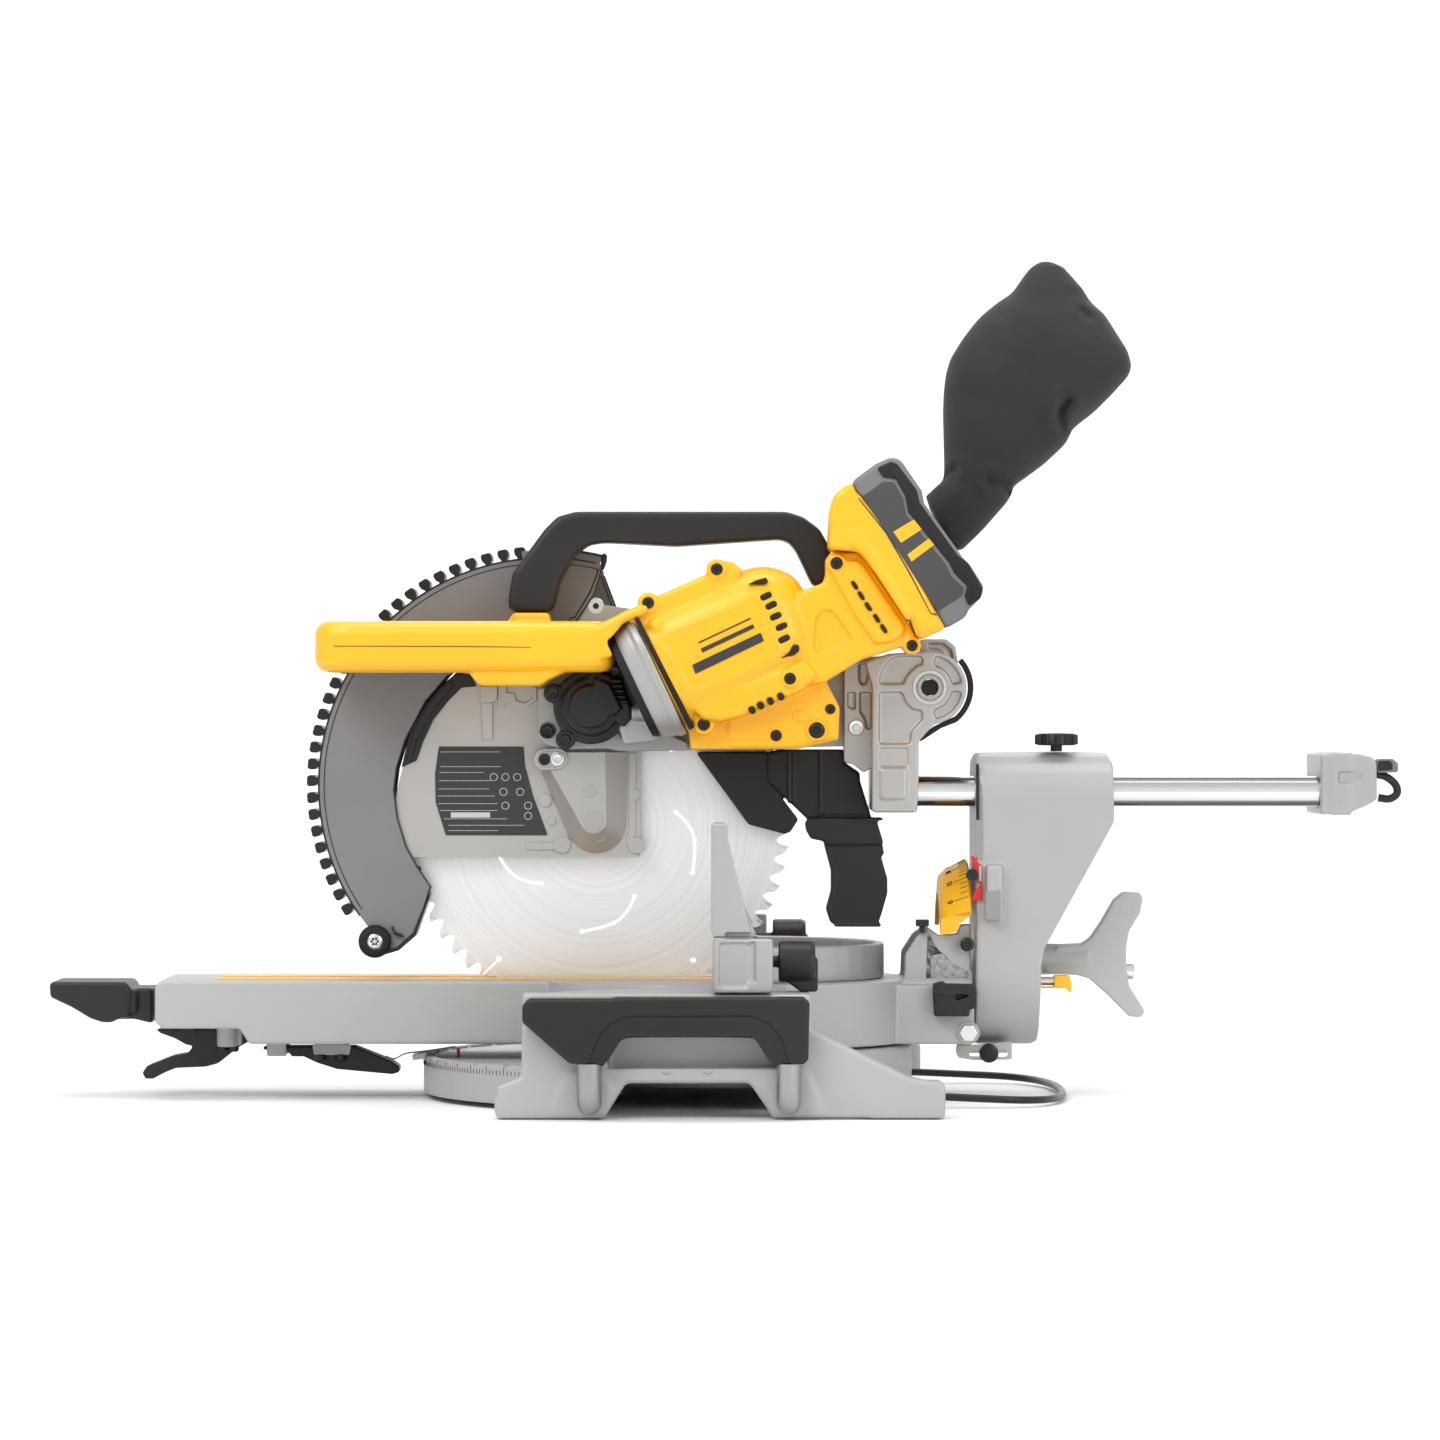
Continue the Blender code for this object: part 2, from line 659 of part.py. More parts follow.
def rating_plate():
    outline = [(-223, 274), (-158, 274), (-156, 258), (-139, 205.5), (-219, 205.5), (-228, 235)]
    return prism("rating_plate", outline, "Y", -19, -GUARD_HALF - GAP, LABEL)


def collar_outline():
    return [(-86.7, 359.2), (-79.6, 371.7), (-70.2, 375.7), (-64.7, 374.9), (-26.3, 291),
            (-27.1, 285.5), (-38.8, 282.4),
            (-49.8, 283.2), (-56.1, 295.7)]


def top_handle_path():
    return bend([(-152, -40, 381.5), (-152, -40, 408), (-122, -40, 448), (-60, -40, 448),
                 (52, -40, 448), (80, -40, 434),
                 (70, -40, 408)], 3)


def gearcase():
    top = rounded([(-148, 275), (-148, 321.5), (-25, 321.5), (-25, 275)], 5, 2)
    case = prism("gearcase", top, "Y", -40, -GUARD_HALF - GAP, PLATE)
    drop = [(-140, 277), (-70, 277)] + arc(BLADE_X, BLADE_Z + 3, 26, -12, -168, 12)
    add(case, prism("drop", drop, "Y", -33, -GUARD_HALF - GAP, PLATE))
    add(case, prism("collar", rounded(collar_outline(), 4, 2), "Y", -124, -30, PLATE))
    cut(case, rod("c", (BLADE_X, -29, BLADE_Z), (BLADE_X, 0, BLADE_Z), 13, 20, PLATE))
    return case


def gear_cover():
    outline = arc(-102, 310, 31, 60, 250, 16) + [(-80, 280), (-62, 290), (-72, 312), (-88, 345)]
    cover = prism("gear_cover", outline, "Y", -78, -40 - GAP, BLACK)
    cut(cover, prism("c", grown(collar_outline(), 0.6), "Y", -130, -20, BLACK))
    return soften(cover, 2, 1)


def motor_housing():
    outline = [(-86, 376), (-66, 393), (-6, 421), (28, 413), (58, 413), (72, 424), (83, 428),
               (150, 364), (156, 356.5),
               (150, 352.6), (89, 322), (95, 286), (45, 273.5), (-24, 273.5), (-40, 300)]
    body = prism("motor_housing", rounded(outline, 7, 2), "Y", -122, -27, YELLOW)
    soften(body, 12, 2)
    cut(body, prism("c", grown(collar_outline(), 0.8), "Y", -140, 0, YELLOW))
    cut(body, block("c", (-160, -40.6, 265), (-24.3, 0, 322.2), YELLOW))
    path = [Vector(p) for p in top_handle_path()]
    path.append(path[-1] + (path[-1] - path[-2]).normalized() * 2)
    cut(body, tube("c", path, 12.6, 12, YELLOW))
    cut(body, rod("c", (PIVOT_X, -61, PIVOT_Z), (PIVOT_X, 0, PIVOT_Z), 36.5, 40, YELLOW))
    clear_arm = [(-10, 250), (-10, 336), (20, 366.4), (70, 366.4), (110, 346.4), (170, 346.4),
                 (170, 250)]
    cut(body, prism("c", clear_arm, "Y", -43.5 - GAP, 0, YELLOW))
    cut(body, rod("c", (BLADE_X, -26.8, BLADE_Z), (BLADE_X, 0, BLADE_Z), GUARD_R + 1, 40, YELLOW))
    return body


def d_handle():
    outer = rounded([(-316, -124), (-316, -32), (-90, -29.5), (-90, -122.5)], 26, 4)
    loop = prism("d_handle", outer, "Z", 334, 373, YELLOW)
    soften(loop, 8, 2)
    add(loop, block("step", (-190, -101.6, 322.5), (-128, -30.6, 337), YELLOW))
    add(loop, rod("boss", (-152, -42, 368), (-152, -42, 381), 15, 16, YELLOW))
    hole = rounded([(-286, -100), (-286, -56), (-160, -54), (-160, -100)], 14, 3)
    cut(loop, prism("c", hole, "Z", 300, 400, YELLOW))
    cut(loop, block("c", (-303, -92, 342), (-280, -64, 365), YELLOW))
    rear_cut = [(-125, 300), (-106.4, 333.3), (-92.5, 357), (-86, 390), (-40, 390), (-40, 300)]
    cut(loop, prism("c", rear_cut, "Y", -140, 0, YELLOW))
    cut(loop, rod("c", (-102, -90, 310), (-102, 0, 310), 31.7, 32, YELLOW))
    return loop


def trigger():
    outline = rounded([(-297, -91), (-297, -65), (-281, -66), (-278, -78), (-281, -90)], 3, 2)
    return prism("trigger", outline, "Z", 343, 364, BLACK)


def top_handle():
    return tube("top_handle", top_handle_path(), 12, 12, BLACK)


def battery():
    outline = [(84.5, 430.5), (86, 473), (100, 482), (131, 502), (137, 500), (163, 465), (192, 422),
               (205.5, 391),
               (196, 386), (173, 361), (163, 359.5), (152, 366)]
    pack = prism("battery", rounded(outline, 5, 2), "Y", -128, -54, GREY)
    return soften(pack, 6, 1)


def dust_chute():
    hood = [(-22, 272.5), (95, 272.5), (109, 268), (112, 240), (108, 224), (72, 203), (64, 209),
            (38, 207), (20, 216)]
    body = prism("dust_chute", hood, "Y", -24, 24, BLACK)
    boot = rounded([(70, 220), (125.5, 220), (126, 198), (129.5, 170), (124, 135.5), (91, 134.5),
                    (84, 146), (86, 170), (84, 198), (70, 202)], 4, 1)
    add(body, prism("boot", boot, "Y", -28, -1, BLACK))
    throat = rod("c", (BLADE_X, -14, BLADE_Z), (BLADE_X, 14, BLADE_Z), BLADE_R + 4, 72, BLACK)
    cut(body, throat)
    return body


def dust_duct():
    path = bend([(74, 20, 384), (110, 20, 400), (150, 20, 424), (172, 20, 446)], 3)
    return tube("dust_duct", path, 15, 14, BLACK)


def dust_bag():
    """A soft full bag: stacked oval sections along a rising, leaning centre line."""
    sections = [((178, 452), 17, 18), ((194, 468), 26, 27), ((212, 492), 46, 36), ((234, 528), 62, 44),
                ((250, 566), 68, 47),
                ((262, 604), 60, 44), ((262, 634), 42, 34), ((258, 655), 20, 15)]
    lean = Matrix.Rotation(BAG_LEAN, 4, "Y")
    bm = bmesh.new()
    bmesh.ops.create_circle(bm, cap_ends=True, radius=1.0, segments=16)
    end = bm.faces[:]
    before = Matrix.Identity(4)
    for index, ((x, z), wide, deep) in enumerate(sections):
        if index:
            rim_edges = [edge for face in end for edge in face.edges]
            grown_out = bmesh.ops.extrude_face_region(bm, geom=end + rim_edges)["geom"]
            end = [piece for piece in grown_out if isinstance(piece, bmesh.types.BMFace)]
        spot = Matrix.Translation(Vector((x, BAG_Y, z)) * MM) @ lean
        station = spot @ Matrix.Diagonal((wide * MM, deep * MM, 1, 1))
        rim = list({corner for face in end for corner in face.verts})
        bmesh.ops.transform(bm, matrix=station @ before.inverted(), verts=rim)
        before = station
    return from_bmesh("dust_bag", bm, CLOTH)


# ---------------------------------------------------------------- blade and moving shield


def blade():
    outline = []
    for i in range(TOOTH_COUNT):
        start = -math.tau * i / TOOTH_COUNT
        for turn, radius in ((0.0, BLADE_R), (0.35, BLADE_R - 2.5), (0.8, BLADE_R - 9)):
            angle = start - turn * math.tau / TOOTH_COUNT
            outline.append((BLADE_X + radius * math.cos(angle), BLADE_Z + radius * math.sin(angle)))
    disc = prism("blade", outline, "Y", -BLADE_T / 2, BLADE_T / 2, STEEL)
    cut(disc, rod("c", (BLADE_X, -20, BLADE_Z), (BLADE_X, 20, BLADE_Z), 13, 32, STEEL))
    return disc


def arbor():
    edge = BLADE_T / 2 + GAP
    profile = [(0, -27), (12, -27), (12, -8), (24, -6), (24, -edge), (12.6, -edge), (12.6, edge),
               (24, edge), (24, 6), (9, 7),
               (9, 13.5), (0, 13.5)]
    return lathe("arbor", profile, (BLADE_X, 0, BLADE_Z), "Y", 24, STEEL)


def shield_outline(inner):
    return arc(SHIELD_X, SHIELD_Z, SHIELD_R, 77, 222, 40) + inner


def lower_shield():
    toe = [(-266, 115), (-250, 135), (-233, 149), (-229.5, 165.7)]
    edge = toe + [(-246, 188), (-257, 220), (-259, 241), (-256, 261), (-248, 285), (-232, 313),
                  (-216, 332)]
    crescent = edge + [(-180, 362), (-130, 378), (-112, 383), (-96, 410)]
    wall = GUARD_HALF + 1.2
    body = prism("lower_shield", shield_outline(crescent), "Y", -SHIELD_HALF, -wall, TINT)
    hub = arc(BLADE_X, BLADE_Z, 24, 240, 450, 16)
    far_edge = toe + hub + [(-96, 410)]
    add(body, prism("far_wall", shield_outline(far_edge), "Y", wall, SHIELD_HALF, TINT))
    rim_outer = arc(SHIELD_X, SHIELD_Z, SHIELD_R - 0.4, 77.6, 212, 38)
    rim_inner = arc(SHIELD_X, SHIELD_Z, SHIELD_R - 5, 212, 77.6, 38)
    add(body, prism("rim", rim_outer + rim_inner, "Y", -wall - 1.1, wall + 1.1, TINT))
    cut(body, rod("c", (BLADE_X, 0, BLADE_Z), (BLADE_X, 60, BLADE_Z), 10, 20, TINT))
    cut(body, rod("c", (ROLLER_X, -60, ROLLER_Z), (ROLLER_X, 60, ROLLER_Z), 4.6, 12, TINT))
    return body


def shield_roller():
    profile = [(0, -30), (10.5, -30), (13, -28), (13, -24), (11, -22), (4, -22), (4, 21), (0, 21)]
    return lathe("shield_roller", profile, (ROLLER_X, 0, ROLLER_Z), "Y", 18, RUBBER)


# ---------------------------------------------------------------- whole saw


def set_origin(obj, point):
    spot = Vector(point) * MM
    obj.data.transform(Matrix.Translation(-spot))
    obj.location = spot


def build_base():
    base_casting()
    fixed_fence()
    miter_scale()
    wire_stand()
    for side, word in ((-1, "near"), (1, "far")):
        carry_handle("carry_handle_" + word, side)
        handle_post("handle_post_front_" + word, -117, side)
        handle_post("handle_post_rear_" + word, 53.5, side)
        set_origin(upper_fence("upper_fence_" + word, side), (0, side * 200, 150))
        set_origin(fence_knob("fence_knob_" + word, side), (40, side * 236, 115))


def build_turntable():
    set_origin(turntable(), (0, 0, TABLE_TOP))
    kerf_plate("kerf_plate_near", -1)
    kerf_plate("kerf_plate_far", 1)
    miter_handle()
    miter_pointer()
    cable_clip()
    bevel_scale()
    set_origin(miter_lock_lever(), (-388, 0, 44))
    set_origin(detent_lever(), (-352, 0, 37))


def build_column():
    set_origin(column(), (COLUMN_FRONT, 0, TABLE_TOP))
    bevel_pointer()
    stop_plate()
    set_origin(bevel_handle(), (252, 0, 111))
    set_origin(bevel_pin(), (255, -30, 88))
    set_origin(slide_knob(), (262.5, -RAIL_Y, 272))


def build_carriage():
    head_support()
    pivot_pin()
    rail("rail_near", -1)
    rail("rail_far", 1)
    rear_bracket()
    cord_clamp()
    bumper()


def build_head():
    set_origin(head_arm(), (PIVOT_X, 0, PIVOT_Z))
    upper_guard()
    guard_trim()
    rating_plate()
    gearcase()
    gear_cover()
    motor_housing()
    d_handle()
    top_handle()
    dust_chute()
    dust_duct()
    set_origin(trigger(), (-288, -78, 353))
    set_origin(battery(), (118, -91, 397))
    set_origin(dust_bag(), (178, 25, 452))
    set_origin(blade(), (BLADE_X, 0, BLADE_Z))
    set_origin(arbor(), (BLADE_X, 0, BLADE_Z))
    set_origin(lower_shield(), (BLADE_X, 0, BLADE_Z))
    set_origin(shield_roller(), (ROLLER_X, 0, ROLLER_Z))


def centre_on_floor():
    """Moves every part so the saw's bounding box is centred over the origin and rests on Z = 0."""
    low = Vector((9, 9, 9))
    high = Vector((-9, -9, -9))
    for obj in PARTS.objects:
        for vertex in obj.data.vertices:
            spot = obj.location + vertex.co
            low = Vector(map(min, low, spot))
            high = Vector(map(max, high, spot))
    shift = Vector((-(low.x + high.x) / 2, -(low.y + high.y) / 2, -low.z))
    for obj in PARTS.objects:
        obj.location = obj.location + shift
    return shift


clear_scene()
PARTS = collection("sliding_miter_saw")
build_base()
build_turntable()
build_column()
build_carriage()
build_head()
SHIFT = centre_on_floor()
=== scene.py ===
"""Looks of the sliding miter saw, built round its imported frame.

Sizes are in millimetres in the saw's own layout: X from the operator's end (-) to the rail ends (+)
with the miter axis at X = 0, Y across the table with the blade at Y = 0, Z up from the floor.
"""
import math

import bmesh
import bpy
from mathutils import Matrix, Vector


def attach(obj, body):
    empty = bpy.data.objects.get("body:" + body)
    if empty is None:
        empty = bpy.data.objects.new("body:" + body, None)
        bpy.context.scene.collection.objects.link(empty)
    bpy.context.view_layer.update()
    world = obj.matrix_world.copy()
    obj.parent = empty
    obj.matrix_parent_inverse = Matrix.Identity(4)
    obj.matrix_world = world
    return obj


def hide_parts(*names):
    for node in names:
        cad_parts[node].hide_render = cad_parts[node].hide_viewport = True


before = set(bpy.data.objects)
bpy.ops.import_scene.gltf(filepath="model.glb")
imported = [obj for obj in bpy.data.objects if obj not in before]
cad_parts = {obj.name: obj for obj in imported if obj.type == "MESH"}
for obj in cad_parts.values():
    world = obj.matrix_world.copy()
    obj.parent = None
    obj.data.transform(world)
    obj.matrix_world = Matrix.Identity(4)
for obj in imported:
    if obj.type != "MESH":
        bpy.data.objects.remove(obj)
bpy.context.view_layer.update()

MM = 0.001
SHIFT_X = -2.077
BLADE_X = -99.5
BLADE_Z = 212.5
BLADE_R = 152.5
SHIELD_X = -139.1
SHIELD_Z = 245.0
PIVOT_X = 162.1
PIVOT_Z = 321.9
ROLLER_X = -274.0
ROLLER_Z = 122.0
TABLE_TOP = 92.8
COVER_X = -103
COVER_Z = 307
RAIL_Y = 36
RAIL_Z = 240.5
CAMERA_DISTANCE = 4.5
CAMERA_HEIGHT = 0.2965
FLOOR_REACH = 1.2


# ------------------------------------------------------------------ materials


def new_material(name):
    mat = bpy.data.materials.new(name)
    mat.use_nodes = True
    return mat, mat.node_tree.nodes["Principled BSDF"]


def node(mat, kind, **inputs):
    """A shader node of one kind, with its named inputs set."""
    made = mat.node_tree.nodes.new("ShaderNode" + kind)
    for key, value in inputs.items():
        made.inputs[key.replace("_", " ")].default_value = value
    return made


def wire(mat, *runs):
    """Joins nodes: each run is a node, its output, the next node and its input."""
    for start, output, end, entry in runs:
        mat.node_tree.links.new(start.outputs[output], end.inputs[entry])


def two_shades(ramp, dark, light, low=0.0, high=1.0):
    for spot, position, colour in zip(ramp.color_ramp.elements, (low, high), (dark, light)):
        spot.position = position
        spot.color = (*colour, 1)


def surface(name, dark, light, rough, metallic=0.0, grain=60.0, bump=0.05, patch=5.0, coat=0.0, spread=0.08,
            shine=0.5):
    """A finish with two near shades mixed by noise, a varying roughness and a fine bump."""
    mat, shader = new_material(name)
    place = node(mat, "TexCoord")
    wide = node(mat, "TexNoise", Scale=patch, Detail=4.0)
    fine = node(mat, "TexNoise", Scale=grain * 10, Detail=3.0)
    ramp = node(mat, "ValToRGB")
    two_shades(ramp, dark, light, 0.35, 0.65)
    level = node(mat, "MapRange", To_Min=max(0.02, rough - spread), To_Max=rough + spread)
    lift = node(mat, "Bump", Strength=bump, Distance=0.0006)
    wire(mat, (place, "Object", wide, "Vector"), (place, "Object", fine, "Vector"),
         (wide, "Fac", ramp, "Fac"), (ramp, "Color", shader, "Base Color"), (fine, "Fac", level, "Value"),
         (level, "Result", shader, "Roughness"), (fine, "Fac", lift, "Height"),
         (lift, "Normal", shader, "Normal"))
    shader.inputs["Metallic"].default_value = metallic
    shader.inputs["Coat Weight"].default_value = coat
    shader.inputs["Specular IOR Level"].default_value = shine
    return mat


def ringed_steel(name):
    """Polished saw steel with fine rings about the arbor."""
    mat, shader = new_material(name)
    place = node(mat, "TexCoord")
    centre, flat, length = (node(mat, "VectorMath") for i in range(3))
    centre.operation = "SUBTRACT"
    centre.inputs[1].default_value = ((BLADE_X + SHIFT_X) * MM, 0, BLADE_Z * MM)
    flat.operation = "MULTIPLY"
    flat.inputs[1].default_value = (1, 0, 1)
    length.operation = "LENGTH"
    rings = node(mat, "TexNoise")
    rings.noise_dimensions = "1D"
    rings.inputs["Scale"].default_value = 300
    rings.inputs["Detail"].default_value = 6
    ramp = node(mat, "ValToRGB")
    two_shades(ramp, (0.80, 0.80, 0.80), (0.86, 0.86, 0.86), 0.3, 0.62)
    level = node(mat, "MapRange", To_Min=0.3, To_Max=0.46)
    lift = node(mat, "Bump", Strength=0.05, Distance=0.0004)
    wire(mat, (place, "Object", centre, 0), (centre, "Vector", flat, 0), (flat, "Vector", length, 0),
         (length, "Value", rings, "W"), (rings, "Fac", ramp, "Fac"), (ramp, "Color", shader, "Base Color"),
         (rings, "Fac", level, "Value"), (level, "Result", shader, "Roughness"),
         (rings, "Fac", lift, "Height"), (lift, "Normal", shader, "Normal"))
    shader.inputs["Metallic"].default_value = 0.75
    return mat


def painted_reflection_metal(name, rough, stops):
    """Polished bar with a painted reflection: light along its middle and dark towards its upper and lower
    edges.
    """
    mat, shader = new_material(name)
    place = node(mat, "TexCoord")
    split = node(mat, "SeparateXYZ")
    level = node(mat, "MapRange", From_Min=-1)
    ramp = node(mat, "ValToRGB")
    ramp.color_ramp.interpolation = "EASE"
    for i, (height, shade) in enumerate(stops):
        spot = ramp.color_ramp.elements[0] if i == 0 else ramp.color_ramp.elements.new((height + 1) / 2)
        spot.position = (height + 1) / 2
        spot.color = (shade, shade, shade * 1.01, 1)
    grain = node(mat, "TexNoise", Scale=400)
    wear = node(mat, "MapRange", To_Min=rough - 0.03, To_Max=rough + 0.03)
    wire(mat, (place, "Normal", split, 0), (split, "Z", level, "Value"), (level, "Result", ramp, "Fac"),
         (ramp, "Color", shader, "Base Color"), (place, "Object", grain, "Vector"),
         (grain, "Fac", wear, "Value"), (wear, "Result", shader, "Roughness"))
    shader.inputs["Metallic"].default_value = 0.9
    return mat


def woven_cloth(name):
    """Closely woven black cloth: two crossed fine waves under a soft mottle."""
    mat, shader = new_material(name)
    place = node(mat, "TexCoord")
    warp, weft = (node(mat, "TexWave", Scale=420, Distortion=0.4) for i in range(2))
    weft.bands_direction = "Z"
    mottle = node(mat, "TexNoise", Scale=30)
    weave = node(mat, "Math")
    weave.operation = "MULTIPLY"
    ramp = node(mat, "ValToRGB")
    two_shades(ramp, (0.012, 0.012, 0.013), (0.025, 0.025, 0.027))
    lift = node(mat, "Bump", Strength=0.25, Distance=0.0004)
    wire(mat, (place, "Object", warp, "Vector"), (place, "Object", weft, "Vector"),
         (place, "Object", mottle, "Vector"), (warp, "Fac", weave, 0), (weft, "Fac", weave, 1),
         (mottle, "Fac", ramp, "Fac"), (ramp, "Color", shader, "Base Color"),
         (weave, "Value", lift, "Height"), (lift, "Normal", shader, "Normal"))
    shader.inputs["Roughness"].default_value = 0.85
    shader.inputs["Sheen Weight"].default_value = 0.06
    return mat


YELLOW = surface("yellow_shell", (0.88, 0.43, 0.006), (0.92, 0.47, 0.010), 0.36, grain=50, bump=0.06,
                 coat=0.05)
YELLOW_FLAT = surface("yellow_plate", (0.84, 0.42, 0.008), (0.89, 0.46, 0.012), 0.45, grain=70, bump=0.05)
BLACK = surface("black_shell", (0.009, 0.009, 0.0095), (0.014, 0.014, 0.015), 0.42, grain=80, bump=0.10,
                shine=0.38)
CHUTE_BLACK = surface("chute_black", (0.010, 0.010, 0.0105), (0.016, 0.016, 0.017), 0.5, grain=60, bump=0.06,
                      shine=0.35)
GLOSS_BLACK = surface("screw_black", (0.006, 0.006, 0.006), (0.012, 0.012, 0.012), 0.3, grain=40, bump=0.05,
                      shine=0.4)
CASTING = surface("light_casting", (0.37, 0.37, 0.366), (0.42, 0.42, 0.416), 0.44, metallic=0.45, grain=90,
                  bump=0.10)
BASE_CAST = surface("base_casting_grey", (0.385, 0.385, 0.382), (0.43, 0.43, 0.427), 0.48, metallic=0.25,
                    grain=90, bump=0.12)
PLATE = surface("warm_plate", (0.40, 0.39, 0.375), (0.47, 0.46, 0.44), 0.42, metallic=0.55, grain=90,
                bump=0.08)
# Darker casting grey painted in as shade: the groove strip and the shadow panel on the column, and the cast
# arrows on the base.
RECESS_SHADE = surface("recess_painted_shade", (0.26, 0.26, 0.25), (0.33, 0.33, 0.32), 0.5, metallic=0.5, grain=90, bump=0.1)
STEEL = surface("bright_steel", (0.68, 0.68, 0.67), (0.78, 0.78, 0.77), 0.25, metallic=0.95, grain=30,
                bump=0.02)
# The rails' light and dark bands are a painted reflection, set by which way each surface faces.
CHROME_PAINTED_REFLECTION = painted_reflection_metal("chrome_rail", 0.12, ((-1, 0.35), (-0.86, 0.07), (-0.7, 0.16), (-0.5, 0.7), (0, 0.9),
                                            (0.5, 0.62), (0.72, 0.10), (0.88, 0.3), (1, 0.6)))
POST = surface("brushed_post", (0.34, 0.34, 0.34), (0.40, 0.40, 0.40), 0.32, metallic=0.85, grain=40,
               bump=0.02)
GREY = surface("pack_grey", (0.14, 0.14, 0.142), (0.18, 0.18, 0.182), 0.45, grain=70, bump=0.08)
PACK_FACE = surface("pack_face_grey", (0.05, 0.05, 0.052), (0.064, 0.064, 0.066), 0.5, grain=30, bump=0.02,
                    shine=0.35)
SHIELD = surface("shield_tint", (0.17, 0.17, 0.174), (0.21, 0.21, 0.214), 0.42, shine=0.35, grain=60,
                 bump=0.01, patch=6, spread=0.04)
RUBBER = surface("black_rubber", (0.008, 0.008, 0.008), (0.013, 0.013, 0.013), 0.6, grain=60, bump=0.1,
                 shine=0.3)
RED = surface("red_pointer", (0.55, 0.008, 0.006), (0.70, 0.015, 0.012), 0.35, grain=40, bump=0.04)
LABEL = surface("dark_label", (0.030, 0.030, 0.032), (0.040, 0.040, 0.042), 0.5, grain=30, bump=0.02,
                shine=0.35)
LABEL_LINE = surface("label_line", (0.45, 0.45, 0.44), (0.55, 0.55, 0.54), 0.5, grain=30, bump=0.02)
# Near-black used as painted shade in vent floors, the bearing bore, the roller socket and the column groove,
# and as the print of scale marks and numerals.
SHADE_AND_PRINT_DARK = surface("painted_shade_and_print_dark", (0.006, 0.006, 0.006), (0.012, 0.012, 0.012), 0.8, grain=30, bump=0.05)
ROD = surface("dark_rod", (0.016, 0.016, 0.017), (0.028, 0.028, 0.03), 0.34, metallic=0.5, grain=40,
              bump=0.04)
BLADE_STEEL = ringed_steel("ringed_steel")
CLOTH = woven_cloth("woven_cloth")


# ------------------------------------------------------------------ shape helpers


def place(axis, a, b, h):
    spot = {"Y": (a, h, b), "Z": (a, b, h), "X": (h, a, b)}[axis]
    return Vector((spot[0] + SHIFT_X, spot[1], spot[2])) * MM


def new_piece(name, bm, mat):
    bmesh.ops.remove_doubles(bm, verts=bm.verts, dist=0.00002)
    bmesh.ops.recalc_face_normals(bm, faces=bm.faces)
    mesh = bpy.data.meshes.new(name)
    bm.to_mesh(mesh)
    bm.free()
    obj = bpy.data.objects.new(name, mesh)
    bpy.context.scene.collection.objects.link(obj)
    obj.data.materials.append(mat)
    return obj


def prism(name, points, axis, low, high, mat):
    bm = bmesh.new()
    base = [bm.verts.new(place(axis, a, b, low)) for a, b in points]
    top = [bm.verts.new(place(axis, a, b, high)) for a, b in points]
    bm.faces.new(base)
    bm.faces.new(top)
    for i in range(len(points)):
        j = (i + 1) % len(points)
        bm.faces.new((base[i], base[j], top[j], top[i]))
    return new_piece(name, bm, mat)


def block(name, low, high, mat):
    corners = [(low[0], low[1]), (high[0], low[1]), (high[0], high[1]), (low[0], high[1])]
    return prism(name, corners, "Z", low[2], high[2], mat)


def arc(cx, cz, radius, start, end, steps):
    found = []
    for i in range(steps + 1):
        angle = math.radians(start + (end - start) * i / steps)
        found.append((cx + radius * math.cos(angle), cz + radius * math.sin(angle)))
    return found


def flank(side, near, far):
    """A range of Y on one side of the saw, its lower end first."""
    return sorted((side * near, side * far))


def disc(cx, cz, radius, steps=32):
    return arc(cx, cz, radius, 0, 360 - 360 / steps, steps - 1)


def rounded(points, radius, steps=4):
    found = []
    count = len(points)
    for i in range(count):
        here = Vector(points[i])
        before = Vector(points[i - 1]) - here
        after = Vector(points[(i + 1) % count]) - here
        if before.length < 1e-6 or after.length < 1e-6:
            continue
        turn = before.angle(after)
        reach = min(radius / max(math.tan(turn / 2), 0.05), before.length * 0.47, after.length * 0.47)
        start = here + before.normalized() * reach
        end = here + after.normalized() * reach
        for k in range(steps + 1):
            t = k / steps
            spot = start.lerp(here, t).lerp(here.lerp(end, t), t)
            found.append((spot.x, spot.y))
    return found


def loft(name, rings, mat, closed=False):
    """Skins a run of equal-length point rings in millimetres, closed into a ring or capped at its ends."""
    bm = bmesh.new()
    made = [[bm.verts.new(place("Z", p[0], p[1], p[2])) for p in ring] for ring in rings]
    count = len(rings[0])
    pairs = list(zip(made, made[1:]))
    if closed:
        pairs.append((made[-1], made[0]))
    for low, high in pairs:
        for i in range(count):
            j = (i + 1) % count
            bm.faces.new((low[i], low[j], high[j], high[i]))
    if not closed:
        bm.faces.new(made[0])
        bm.faces.new(made[-1])
    return new_piece(name, bm, mat)


def lathe(name, profile, origin, axis, steps, mat):
    frames = {"X": (0, 1, 2), "Y": (1, 0, 2), "Z": (2, 0, 1)}[axis]
    rings = []
    for radius, height in profile:
        ring = []
        for i in range(steps):
            angle = 2 * math.pi * i / steps
            spot = list(origin)
            spot[frames[0]] += height
            spot[frames[1]] += max(radius, 0.01) * math.cos(angle)
            spot[frames[2]] += max(radius, 0.01) * math.sin(angle)
            ring.append(spot)
        rings.append(ring)
    return loft(name, rings, mat, closed=profile[0][0] > 0.1)


def tube(name, path, wide, tall, steps, mat):
    points = [Vector(p) for p in path]
    rings = []
    side = None
    for i, point in enumerate(points):
        before = points[i] - points[i - 1] if i else points[1] - points[0]
        after = points[i + 1] - points[i] if i < len(points) - 1 else before
        along = (before.normalized() + after.normalized()).normalized()
        guide = side if side is not None else (Vector((0, 1, 0)) if abs(along.y) < 0.9 else Vector((1, 0, 0)))
        side = (guide - along * guide.dot(along)).normalized()
        up = along.cross(side)
        ring = []
        for k in range(steps):
            angle = 2 * math.pi * k / steps
            ring.append(point + side * wide * math.cos(angle) + up * tall * math.sin(angle))
        rings.append(ring)
    return loft(name, rings, mat)


